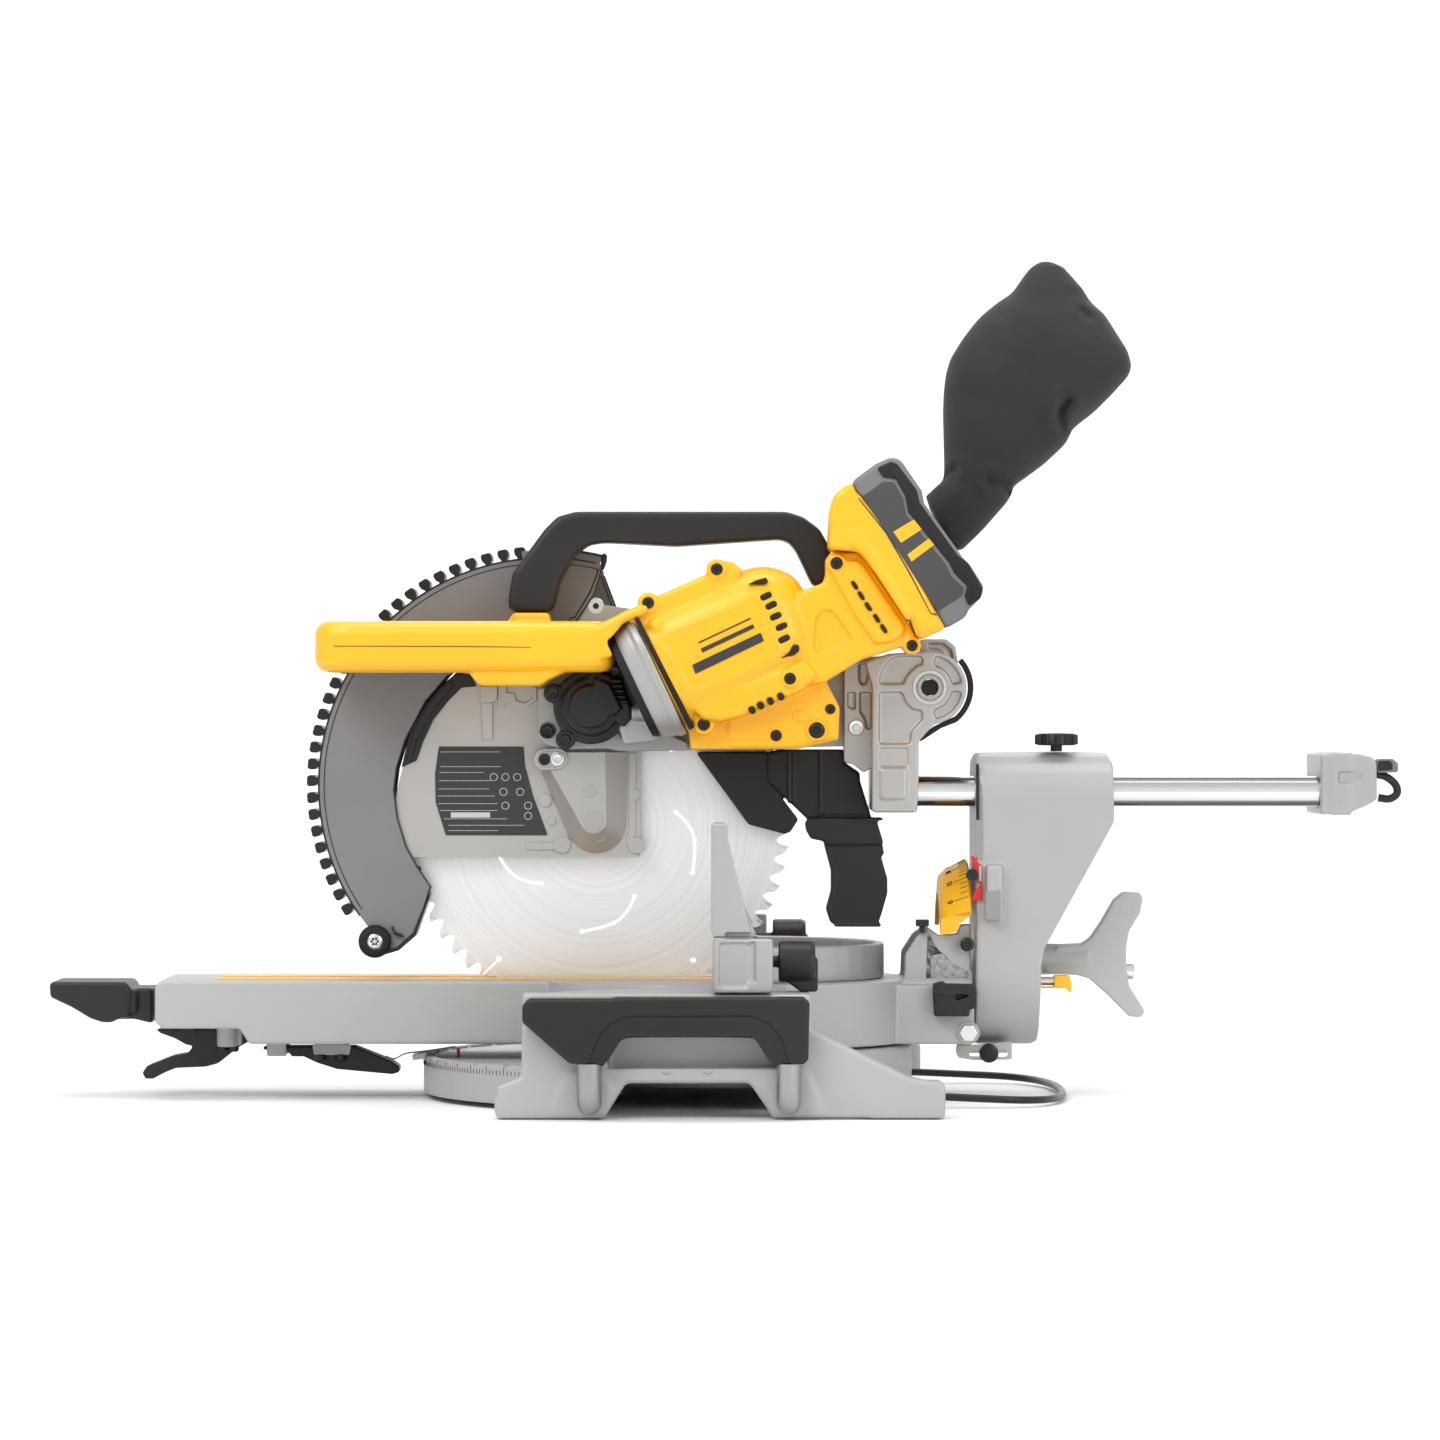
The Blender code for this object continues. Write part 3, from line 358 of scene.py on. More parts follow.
def bend(points, steps=8):
    path = [Vector(p) for p in points]
    eased = [path[0]]
    for before, here, after in zip(path, path[1:], path[2:]):
        start = here.lerp(before, 0.47)
        end = here.lerp(after, 0.47)
        for k in range(steps + 1):
            t = k / steps
            eased.append(start.lerp(here, t).lerp(here.lerp(end, t), t))
    eased.append(path[-1])
    return eased


def bake(obj):
    depsgraph = bpy.context.evaluated_depsgraph_get()
    mesh = bpy.data.meshes.new_from_object(obj.evaluated_get(depsgraph))
    obj.modifiers.clear()
    obj.data = mesh
    return obj


def combine(obj, other, operation, solver="EXACT"):
    change = obj.modifiers.new("join", "BOOLEAN")
    change.operation = operation
    change.solver = solver
    change.object = other
    change.use_self = operation == "DIFFERENCE"
    change.material_mode = "TRANSFER"
    bake(obj)
    bpy.data.objects.remove(other, do_unlink=True)
    return obj


def cut(obj, *others):
    for other in others:
        combine(obj, other, "DIFFERENCE")
    return obj


def add(obj, *others):
    for other in others:
        combine(obj, other, "UNION")
    return obj


def soften(obj, width, segments=3, angle=38, clamp=True):
    edge = obj.modifiers.new("soft_edges", "BEVEL")
    edge.width = width * MM
    edge.segments = segments
    edge.limit_method = "ANGLE"
    edge.angle_limit = math.radians(angle)
    edge.use_clamp_overlap = clamp
    edge.harden_normals = True
    obj.data.shade_smooth()
    return bake(obj)


def smooth(obj, angle=38):
    obj.data.shade_smooth()
    obj.data.set_sharp_from_angle(angle=math.radians(angle))
    return obj


def join(name, objs):
    """Makes one piece of several that touch, with each one's own finish."""
    bpy.ops.object.select_all(action="DESELECT")
    for obj in objs:
        obj.select_set(True)
    bpy.context.view_layer.objects.active = objs[0]
    bpy.ops.object.join()
    objs[0].name = name
    objs[0].data.name = name
    return objs[0]


def fit(obj, body, slot, *nodes):
    """Hands a finished piece to its body and hides the CAD nodes it stands for; the finish name in slot is
    not used.
    """
    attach(obj, body)
    if nodes:
        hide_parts(*nodes)
    return obj


def screw(x, y, z, radius, mat=None, collar=0.0, collar_mat=None, depth=3.0):
    """A round-headed screw facing the near side, with its socket and, where given, a raised collar."""
    made = []
    mat = mat or GLOSS_BLACK
    profile = [(0, 1.4), (radius * 0.36, 1.4), (radius * 0.42, 0.1), (radius * 0.82, -0.2), (radius, 0.6),
               (radius, depth), (0, depth)]
    made.append(smooth(lathe("screw", profile, (x, y, z), "Y", 24, mat), 50))
    if collar:
        ring = [(radius + 0.5, 0.4), (radius + collar * 0.5, -0.5), (radius + collar, 0.4),
                (radius + collar, depth), (radius + 0.5, depth)]
        made.append(smooth(lathe("screw_collar", ring, (x, y, z), "Y", 28, collar_mat or mat), 60))
    return made


def voxel_skin(obj, size):
    """One even skin round everything in the mesh."""
    grid = obj.modifiers.new("even_grid", "REMESH")
    grid.mode = "VOXEL"
    grid.voxel_size = size * MM
    return bake(obj)


def moulded(name, shapes, cutters, voxel=1.0, rounds=4, keep=0.4):
    """Melts hard-edged shapes into one shell with soft edges, as a moulded or cast piece has."""
    mat = shapes[0].data.materials[0]
    body = voxel_skin(join(name, shapes), voxel)
    if cutters:
        tool = voxel_skin(join("cutters", cutters), voxel * 0.8)
        combine(body, tool, "DIFFERENCE", "MANIFOLD")
        voxel_skin(body, voxel)
    ease = body.modifiers.new("ease", "SMOOTH")
    ease.factor = 0.5
    ease.iterations = rounds
    fewer = body.modifiers.new("fewer", "DECIMATE")
    fewer.ratio = keep
    bake(body)
    body.data.materials.clear()
    body.data.materials.append(mat)
    body.data.polygons.foreach_set("material_index", [0] * len(body.data.polygons))
    body.data.shade_smooth()
    return body


def bars(name, spots, size, lean, low, high, mat):
    """Small slots along a row: spots are their middles, size is (length, width), lean turns their length."""
    made = []
    turn = math.radians(lean)
    for a, b in spots:
        corners = []
        for u, v in ((-0.5, -0.5), (0.5, -0.5), (0.5, 0.5), (-0.5, 0.5)):
            along = u * size[0]
            across = v * size[1]
            corners.append((a + along * math.cos(turn) - across * math.sin(turn),
                            b + along * math.sin(turn) + across * math.cos(turn)))
        made.append(prism(name, rounded(corners, min(size) * 0.35, 2), "Y", low, high, mat))
    return made


# ------------------------------------------------------------------ motor housing

BARREL_START = (-47.8, 332.3)
BARREL_LEAN = 25.3
BARREL_Y = -75.0


def barrel_point(along, across):
    lean = math.radians(BARREL_LEAN)
    x = BARREL_START[0] + along * math.cos(lean) - across * math.sin(lean)
    z = BARREL_START[1] + along * math.sin(lean) + across * math.cos(lean)
    return (x, z)


def superellipse(half_up, half_deep, power, steps):
    points = []
    for i in range(steps):
        angle = 2 * math.pi * i / steps
        c = math.cos(angle)
        s = math.sin(angle)
        points.append((half_up * math.copysign(abs(c) ** (2 / power), c),
                       half_deep * math.copysign(abs(s) ** (2 / power), s)))
    return points


def barrel(name, stations, mat, power=3.2, steps=72):
    rings = []
    for along, half_up, half_deep in stations:
        ring = []
        for up, deep in superellipse(half_up, half_deep, power, steps):
            x, z = barrel_point(along, up)
            ring.append((x, BARREL_Y + deep, z))
        rings.append(ring)
    return loft(name, rings, mat)


def motor_shell():
    stations = [(-1, 49, 45), (6, 49.5, 46), (40, 49, 46.5), (70, 48, 46.5), (88, 46.5, 46), (100, 44.5, 45),
                (109.5, 41, 42), (117.5, 35, 37), (124, 27.5, 30), (127, 19.5, 22), (128, 10, 12)]
    body = barrel("motor_shell", stations, YELLOW)
    ridge = [(-76, 376), (-63.5, 383), (-63.5, 390), (-58.5, 393.5), (-50.5, 392.5), (-10, 410.5),
             (-9, 417.5), (-3, 420), (8, 419), (16, 412), (8, 394.5), (-65.5, 365)]
    bulge = [(-26.5, 315.5), (-24, 304.5), (-16, 297), (-2, 295), (15.5, 299), (61, 319), (75, 331),
             (63, 344), (11.5, 323.5)]
    flange = [(-28, 302), (-24.5, 272.5), (54.5, 273), (90, 281), (91, 306), (80.5, 326.5), (43.5, 323.5),
              (-8, 304)]
    raised = [(4, 294), (4, 277.5), (8, 275.5), (53.5, 275.5), (88, 283), (88, 305), (79, 323.5),
              (43.5, 321.5)]
    neck = [(61, 396.5), (77.5, 402.5), (80, 409), (80, 421.5), (84, 426.5), (104.5, 426), (111, 420),
            (138.5, 379), (145, 370), (151.5, 356), (148, 349.5), (138.5, 353), (108.5, 343.5), (79, 325.5),
            (55.5, 321.5), (41.5, 363)]
    pad = [(83.5, 410.5), (94.5, 420), (105, 419.5), (110.5, 414), (141, 369), (140, 363), (132, 357),
           (118, 355), (102.5, 376.5)]
    shapes = [body, soften(prism("ridge", ridge, "Y", -112, -42, YELLOW), 3),
              soften(prism("bulge", rounded(bulge, 5), "Y", -117, -45, YELLOW), 5, 3),
              soften(prism("flange", flange, "Y", -98, -30, YELLOW), 1.5),
              soften(prism("raised", rounded(raised, 2), "Y", -100, -60, YELLOW), 1.2),
              soften(prism("neck", rounded(neck, 4), "Y", -112, -42, YELLOW), 5, 3),
              soften(prism("pad", rounded(pad, 5), "Y", -117, -60, YELLOW), 3, 2)]
    for spot, radius, y in (((-57.5, 387), 8.2, -113), ((-4.5, 413), 8.2, -113), ((-14.5, 293), 8.4, -110),
                            ((52, 328.5), 7.4, -118), ((88, 417.5), 7.6, -116), ((146.5, 354), 7.0, -112)):
        profile = [(0, -1.5), (radius - 1.2, -1.5), (radius, 0), (radius, 40), (0, 40)]
        shapes.append(lathe("boss", profile, (spot[0], y, spot[1]), "Y", 28, YELLOW))
    for spot in ((-51, 369), (-31.5, 322)):
        profile = [(0, -6), (3, -5.2), (6, -2), (7.5, 3), (7.8, 40), (0, 40)]
        shapes.append(lathe("bump", profile, (spot[0], -114, spot[1]), "Y", 24, YELLOW))
    panel = [(-49, 361), (-26.5, 367.5), (14, 384.5), (20, 391.5), (30, 393.5), (43, 392.5), (51.5, 381.5),
             (55, 365), (51.5, 354), (41, 346.5), (31.5, 342), (8, 331), (0, 327), (-22, 319), (-28.5, 323.5)]
    hollow = [(72, 375.5), (78, 382), (85.5, 380.5), (99.5, 361), (99.5, 357.5), (75, 346), (70.5, 353)]
    cutters = [prism("panel", rounded(panel, 5), "Y", -140, -119.2, YELLOW),
               prism("hollow", rounded(hollow, 3), "Y", -140, -109.5, YELLOW)]
    cutters += motor_vents(-140, -112, YELLOW) + head_clearances(273.9)
    return moulded("motor_shell", shapes, cutters)


def head_clearances(floor_z):
    """Room for the gear case, the head arm, the swinging hinge and the upper guard."""
    arm = [(-10, 277), (-10, 336), (20, 366.4), (70, 366.4), (110, 346.4), (120, 346.4), (120, 277)]
    return [block("c", (-160, -200, 200), (300, -20, floor_z), YELLOW),
            block("c", (-160, -40.6, floor_z + 0.1), (-24.3, -19, 322.2), YELLOW),
            lathe("c", [(0, -60), (36.5, -60), (36.5, 60), (0, 60)], (PIVOT_X, 0, PIVOT_Z), "Y", 48, YELLOW),
            prism("c", arm, "Y", -44, -18, YELLOW)]


def motor_vents(low, high, mat):
    """The slots round the motor's dome, on the lower bulge and on the battery foot."""
    made = []
    made += bars("vent", [(33.5, 392), (37.5, 385), (41, 376.5), (45.5, 368.5), (47.5, 359)], (9, 4.2), 25,
                 low, high, mat)
    for blade_shape in ([(20, 401.5), (25.5, 404), (33.5, 406.5), (35, 404), (33, 401.5)],
                        [(45, 344), (52, 348.5), (55, 354.5), (59, 353.5), (59, 350), (55.5, 347)]):
        made.append(prism("vent", blade_shape, "Y", low, high, mat))
    made += bars("vent", [(23, 304), (29.5, 307.5), (37, 311), (45, 314.5)], (6, 4.2), -65, low, high, mat)
    made += bars("vent", [(102, 400.5), (107, 392.5), (112.5, 384), (119, 375), (124.5, 367)], (7.5, 2.4),
                 -57, low, high, mat)
    return made


def motor_details():
    made = []
    # Near-black floors set inside the vent slots: painted shade.
    vent_shade_floors = motor_vents(-118.6, -110, SHADE_AND_PRINT_DARK)
    made += vent_shade_floors
    for spot, radius, y in (((-57.5, 387), 4.6, -116.6), ((-4.5, 413), 4.6, -116.6),
                            ((-14.5, 293), 4.8, -113.2), ((52, 328.5), 4.6, -121.2),
                            ((88, 417.5), 4.8, -119.8), ((146.5, 354), 4.4, -115.4),
                            ((41.5, 284.5), 4.4, -101.6), ((73, 288.5), 6.0, -101.6),
                            ((83.5, 305), 4.0, -101.6)):
        made += screw(spot[0], y, spot[1], radius, GLOSS_BLACK, depth=8)
    spot = (73, 288.5)
    made.append(smooth(lathe("ring", [(6.6, -1.2), (8.0, -1.2), (8.4, -0.6), (8.4, 2), (6.6, 2)],
                             (spot[0], -100.5, spot[1]), "Y", 32, YELLOW), 50))
    spot = (61, 299.5)
    emblem = [(spot[0] + 7 * math.cos(t), spot[1] + 4.6 * math.sin(t))
              for t in [k * math.tau / 28 for k in range(28)]]
    made.append(soften(prism("lock_boss", emblem, "Y", -100.9, -99, YELLOW), 0.5, 2))
    knob = [(spot[0] + 3.4 * math.cos(t), spot[1] + 3.4 * math.sin(t))
            for t in [k * math.tau / 24 for k in range(24)]]
    made.append(soften(prism("lock_boss", knob, "Y", -101.6, -99, YELLOW), 0.4, 2))
    return join("motor_screws", made)


def motor_band():
    """The black gasket between the motor and the silver collar."""
    band = [(-68.5, 375), (-65, 376), (-21.5, 291), (-25.5, 288.5)]
    return smooth(soften(prism("motor_gasket", band, "Y", -121.8, -32, RUBBER), 1.0, 2))


def badge():
    """A plain dark label on the motor, with generic marks only."""
    plate = [(-23.5, 339), (29.5, 364), (32, 357.5), (-21, 332)]
    made = [prism("motor_badge", rounded(plate, 1), "Y", -119.9, -119.0, LABEL)]
    bar = [(-17, 351.5), (23.5, 370.5), (24.5, 367.5), (-15.5, 348.5)]
    made.append(prism("stripe", bar, "Y", -119.75, -119.0, LABEL))
    bar = [(-19, 356.5), (21.5, 375.5), (22, 374.5), (-18.5, 355.5)]
    made.append(prism("stripe", bar, "Y", -119.75, -119.0, LABEL))
    return join("motor_badge", made)


fit(motor_shell(), "head_body", "yellow_plastic", "motor_housing")
fit(motor_details(), "head_body", "black_plastic")
fit(motor_band(), "head_body", "black_rubber")
fit(badge(), "head_body", "dark_label")


# ------------------------------------------------------------------ collar, gear case and gear cover


def collar():
    stations = [(-26, 34, 36), (-23.5, 40, 41), (-18, 45.5, 45), (-12, 48, 46.5), (-5, 49, 47.5),
                (-1.3, 49.3, 47.8)]
    body = barrel("motor_collar", stations, CASTING, power=3.6)
    rim = barrel("rim", [(-8, 49.6, 48.2), (-7, 50.4, 49), (-2, 50.6, 49.2), (-1.3, 50, 48.6)], CASTING,
                 power=3.6)
    stub = lathe("stub", [(0, -9), (5.5, -9), (5.5, 9), (0, 9)], (-62, -66, 301.5), "X", 24, CASTING)
    web = prism("web", [(-70, 309), (-57.5, 309), (-29, 290.5), (-54, 279), (-77, 276.5), (-81.5, 290.5)],
                "Y", -66, -30, CASTING)
    shapes = [body, rim, stub, soften(web, 3)]
    return moulded("motor_collar", shapes, [], 0.9, 4, 0.4)


def collar_seal():
    """The black lip on the operator's side of the collar."""
    return smooth(barrel("collar_seal", [(-27, 36, 38), (-26.5, 41, 42), (-22.5, 43.5, 43.6), (-20, 43, 43)],
                         RUBBER, power=3.6), 50)


def gear_plate():
    """The silver gear case with its long foot down the guard."""
    outline = [(-145, 321.5), (-123.5, 323.5), (-82, 318), (-54.5, 290.5), (-27, 279), (-27, 272.5),
               (-82, 272), (-90, 274), (-123.5, 273.5), (-137.5, 276.5), (-145, 283)]
    case = soften(prism("gear_plate", rounded(outline, 3), "Y", -40, -18.4, CASTING), 1.5)
    outer = [(-144.5, 271.5), (-144.5, 258.5), (-121, 202)] + arc(-99.5, 214.5, 23.6, 214, 360, 20)
    outer += [(-74.5, 271.5)]
    inner = [(-137.5, 271.5), (-136.5, 259), (-110.5, 213)] + arc(-101.5, 217, 9.6, 208, 360, 20)
    inner += [(-93, 271.5)]
    foot = loft("foot", [[(x, -18.4, z) for x, z in outer], [(x, -33, z) for x, z in inner]], PLATE)
    return soften(case, 0.3), soften(foot, 1.2, 3, 25)


def gear_cover():
    centre = (COVER_X, COVER_Z)
    outline = arc(centre[0], centre[1], 29.5, 128, 318, 30)
    outline += [(-70, 279), (-62.5, 284), (-62, 290.5), (-68, 296), (-61.5, 303), (-75.5, 338.5),
                (-80.5, 347), (-100, 342)]
    base = prism("base", outline, "Y", -62, -40.4, BLACK)
    shapes = [soften(base, 2.5, 3)]
    ring = arc(centre[0], centre[1], 22.5, 100, 330, 30) + [(-77, 290.5), (-71, 297.5), (-71, 306.5),
                                                            (-81.5, 329.5), (-102, 336)]
    shapes.append(soften(prism("ring", ring, "Y", -70, -50, BLACK), 2.5, 3))
    inner = arc(centre[0], centre[1], 16.5, 80, 340, 30) + [(-86, 299.5), (-79, 305.5), (-88, 324.5),
                                                            (-99.5, 329.5)]
    shapes.append(soften(prism("inner", inner, "Y", -76, -60, BLACK), 2, 3))
    for spot in cover_screws():
        shapes.append(lathe("ear", [(0, -1), (6.6, -1), (7.6, 0.5), (7.6, 20), (0, 20)],
                            (spot[0], -62, spot[1]), "Y", 24, BLACK))
    ribs = bars("rib", [(-83, 327), (-82, 323), (-81, 319), (-80, 314.5), (-78.5, 310.5)], (9, 2), 0, -74,
                -60, BLACK)
    return moulded("gear_cover_shell", shapes + ribs, [], 0.8, 3, 0.4)


def cover_screws():
    return [(-132.5, 317.5), (-84.5, 334), (-123, 281), (-74, 287.5)]


def cover_details():
    made = []
    for x, z in cover_screws():
        made += screw(x, -64.6, z, 4.4, GLOSS_BLACK, depth=6)
    for x, z in ((-137.5, 288), (-59.5, 284.5)):
        made += screw(x, -43, z, 4.8, GLOSS_BLACK, collar=1.4, collar_mat=GLOSS_BLACK, depth=4)
    return join("cover_screws", made)


fit(collar(), "head_body", "light_casting", "gearcase")
fit(collar_seal(), "head_body", "black_rubber")
case_piece, foot_piece = gear_plate()
fit(case_piece, "head_body", "light_casting")
fit(foot_piece, "head_body", "warm_plate")
fit(gear_cover(), "head_body", "black_plastic", "gear_cover")
fit(cover_details(), "head_body", "black_plastic")


# ------------------------------------------------------------------ handles


def trigger_loop():
    """The yellow D-shaped grip that runs forward from the motor."""
    outer = rounded([(-316, -124), (-316, -32), (-140, -28), (-84, -34), (-84, -118), (-150, -124)], 26, 6)
    hole = rounded([(-286, -101), (-286, -56), (-160, -54), (-160, -101)], 14, 5)
    shapes = [soften(prism("layer", outer, "Z", 333.5, 373, YELLOW), 10, 3)]
    step = [(-196.5, 333), (-188, 323), (-140.5, 323), (-135.5, 327), (-122, 333.5), (-108, 339),
            (-83.5, 346), (-94.5, 349.5), (-190, 345)]
    shapes.append(soften(prism("step", step, "Y", -116, -34, YELLOW), 3, 3))
    boss = [(-171.5, 370.5), (-167, 375.5), (-164, 380.5), (-135.5, 380.5), (-134, 368.5)]
    shapes.append(soften(prism("boss", boss, "Y", -60, -20, YELLOW), 2.5, 3))
    link = [(-153.5, 369.5), (-101, 368.5), (-86.5, 375), (-75, 381), (-59, 387.5), (-55.5, 381), (-63, 376),
            (-77, 371.5), (-85, 359), (-83.5, 346), (-108, 338.5), (-139.5, 336)]
    shapes.append(soften(prism("link", link, "Y", -118, -34, YELLOW), 4, 3))
    cutters = [prism("c", hole, "Z", 300, 400, YELLOW),
               block("c", (-303, -92, 342), (-280, -64, 365), YELLOW),
               lathe("c", [(0, -90), (30.6, -90), (30.6, 20), (0, 20)], (COVER_X, 0, COVER_Z), "Y", 48,
                     YELLOW),
               barrel("c", [(-27.4, 52, 49), (60, 52, 49)], YELLOW, power=3.6),
               block("c", (-200, -19, 300), (0, 10, 400), YELLOW)]
    return moulded("trigger_loop", shapes, cutters, 1.0, 5, 0.35)


def loop_seams():
    """The parting line along the near side of the loop."""
    made = [tube("seam", [(-300, -124.05, 353.5), (-200, -124.4, 353.2), (-150, -123.9, 352.6),
                          (-118, -119.6, 352.8)], 0.25, 0.35, 6, LABEL)]
    return join("loop_seam", made)


def top_handle():
    """The black carrying handle over the motor, lightly ribbed on top."""
    outer = [(-168, 381.5), (-168, 392.5), (-164.5, 412), (-139.5, 446), (-129.5, 456), (-115, 460),
             (50, 460), (63, 456), (76, 446.5), (84.5, 431.5), (87, 413), (81.5, 403.5)]
    inner = [(71, 400), (57.5, 428.5), (52, 435.5), (44.5, 438), (-36.5, 432.5), (-92.5, 435.5), (-104, 434),
             (-116, 425.5), (-127, 405), (-133, 381.5)]
    grip = soften(prism("carry_grip", rounded(outer + inner, 4, 2), "Y", -56, -24, BLACK), 5, 2)
    body = moulded("carry_grip", [grip], [], 1.5, 22, 0.5)
    lines = []
    for i in range(7):
        x = -98 + i * 23.5
        lines.append(tube("line", [(x, -49, 459.0), (x, -40, 459.7), (x, -31, 459.0)], 0.7, 0.5, 6,
                          GLOSS_BLACK))
    return join("carry_grip", [body] + lines)


fit(trigger_loop(), "head_body", "yellow_plastic", "d_handle")
fit(loop_seams(), "head_body", "yellow_plastic")
fit(top_handle(), "head_body", "black_plastic", "top_handle")


# ------------------------------------------------------------------ upper guard

GUARD_FACE = -18.4


def guard_relief():
    """Ribs, bosses and the hanging bracket cast on the near side of the upper guard."""
    made = []

    def raised(outline, height, width=0.6, mat=PLATE):
        made.append(soften(prism("relief", outline, "Y", GUARD_FACE - height, GUARD_FACE + 0.3, mat), width,
                           2))

    raised([(-191, 323), (-177.5, 323), (-177.5, 313.5), (-181.5, 310.5), (-191, 310)], 5)
    raised([(-190.5, 310.5), (-181.5, 310.5), (-181.5, 281), (-189, 281)], 2.4)
    raised([(-177.5, 323.5), (-170.5, 323.5), (-170.5, 318), (-164.5, 318), (-162.5, 311.5), (-155.5, 310),
            (-149.5, 314.5), (-149.5, 323), (-146.5, 323), (-146.5, 312.5), (-153, 307), (-163.5, 307.5),
            (-168, 310.5), (-177.5, 305.5)], 1.6)
    raised([(-74, 270.5), (-68, 270.5), (-68.5, 207), (-74.5, 195.5), (-76.5, 197.5), (-74, 211.5)], 0.8)
    raised([(-155.5, 200), (-132, 200), (-132, 194), (-155.5, 194)], 0.9, 0.4)
    for x, z, radius, height in ((-140, 233, 5.4, 1.2), (-135, 216.5, 3.4, 0.8), (-69.5, 237.5, 4.6, 1.2),
                                 (-68, 197.5, 6.6, 1.4), (-126.5, 198, 6.8, 1.4)):
        made.append(soften(prism("relief", disc(x, z, radius), "Y", GUARD_FACE - height, GUARD_FACE + 0.3,
                                 PLATE), 0.5, 2))
    for x, z, radius in ((-104.5, 240.5, 5.4), (-101.5, 217, 7.6)):
        made.append(soften(prism("relief", disc(x, z, radius), "Y", -33.5, -32.6, CASTING), 0.3, 2))
    start = (-140, 265.5)
    end = (-130, 266)
    capsule = arc(*start, 8.4, 90, 270, 14) + arc(*end, 8.4, 270, 450, 14)
    made.append(soften(prism("relief", capsule, "Y", -35.6, -30, PLATE), 0.8, 3))
    capsule = arc(*start, 6.4, 90, 270, 14) + arc(*end, 6.4, 270, 450, 14)
    made.append(soften(prism("relief", capsule, "Y", -36.4, -30, CASTING), 0.6, 3))
    return join("guard_relief", made)


def guard_screws():
    x, z = (-140, 265.5)
    made = screw(x, -38.6, z, 4.6, GLOSS_BLACK, depth=6)
    x, z = (-130, 266)
    made.append(smooth(lathe("socket", [(0, 0.6), (1.8, 0.6), (2.0, -0.6), (3.4, -0.8), (3.8, 0), (5.2, 0.2),
                                        (5.4, 4), (0, 4)], (x, -37.6, z), "Y", 28, STEEL), 50))
    return join("guard_screws", made)


def label():
    """A plain dark plate with generic rule lines and an empty box."""
    outline = [(-224, 275.5), (-157, 275.5), (-156, 260.5), (-149.5, 236.5), (-138, 205.5), (-218.5, 205.5),
               (-226.5, 231.5), (-227, 253.5)]
    made = [soften(prism("data_plate", rounded(outline, 1.2, 3), "Y", -19, -18.36, LABEL), 0.15, 2)]
    for left, right, z in ((-223, -175.3, 271.3), (-223, -175.3, 259.7), (-223.5, -188.7, 255.1),
                           (-223.9, -180.6, 248.6), (-224.4, -184.1, 242.1), (-224.6, -179.9, 236.5),
                           (-224.4, -177.6, 230.5), (-223, -177.6, 225), (-219.8, -170.2, 218.5),
                           (-216.5, -156.3, 213.4), (-216.5, -177.1, 209.2)):
        made.append(rule(left, right, z))
    for x, z in ((-180.6, 251.4), (-171.4, 251.4), (-162.1, 251.4), (-173, 239.8), (-159.8, 239.8),
                 (-171.4, 228.9), (-153.5, 228.9), (-153.5, 220.8)):
        made.append(mark(x, z))
    box = [(-214.5, 223.5), (-183.5, 223.5), (-183.5, 219.5), (-214.5, 219.5)]
    made.append(prism("box", box, "Y", -19.06, -18.9, LABEL_LINE))
    return join("data_plate", made)


def rule(left, right, z):
    """A printed line as a plain raised strip."""
    strip = [(left, z - 0.18), (right, z - 0.18), (right, z + 0.18), (left, z + 0.18)]
    return prism("rule", strip, "Y", -19.06, -18.9, LABEL_LINE)


def mark(x, z):
    """A plain ring in place of a printed symbol."""
    return smooth(lathe("mark", [(2.6, -0.06), (3.1, -0.06), (3.1, 0.1), (2.6, 0.1)], (x, -19, z), "Y", 24,
                        LABEL_LINE), 50)


def front_trim():
    """The black lip bolted to the front edge of the upper guard."""
    outer = [(-211.5, 332.5), (-220, 325.5), (-234, 309), (-246.5, 288), (-253.5, 259)]
    inner = [(-241.5, 264.5), (-236.5, 279), (-228, 297), (-216.5, 311.5), (-206, 322), (-194, 323),
             (-199, 332.5)]
    edge = [(-216.5, 328), (-232.5, 308.5), (-244, 288), (-249, 265), (-246, 264.5), (-241, 281),
            (-229.5, 302), (-212.5, 324)]
    made = [soften(prism("guard_lip", outer + inner, "Y", -20.4, -18.4, BLACK), 0.6, 2),
            soften(prism("edge", edge, "Y", -22.2, -20, BLACK), 0.8, 2)]
    return join("guard_lip", made)


def guard_ear():
    """The ear above the guard with the pivot washer beside the swinging shield."""
    outline = [(-110, 389), (-106, 393), (-100, 393.5), (-94.5, 387.5), (-84, 386), (-74, 384.5), (-65, 366),
               (-123.5, 364.5)]
    x, z = -100, 386.5
    made = [soften(prism("guard_ear", outline, "Y", -18.8, -15, PLATE), 0.3, 2)]
    made.append(smooth(lathe("washer", [(0, -19.1), (6.1, -19.1), (6.5, -18.6), (6.5, -16), (0, -16)],
                             (x, 0, z), "Y", 32, STEEL), 50))
    made.append(lathe("socket", [(0, -19.16), (2.4, -19.16), (2.4, -18), (0, -18)], (x, 0, z), "Y", 20,
                      GLOSS_BLACK))
    return join("guard_ear", made)


fit(guard_ear(), "head_body", "warm_plate")
fit(guard_relief(), "head_body", "warm_plate")
fit(guard_screws(), "head_body", "bright_steel")
fit(label(), "head_body", "dark_label", "rating_plate")
fit(front_trim(), "head_body", "black_plastic", "guard_trim")


# ------------------------------------------------------------------ blade and swinging shield


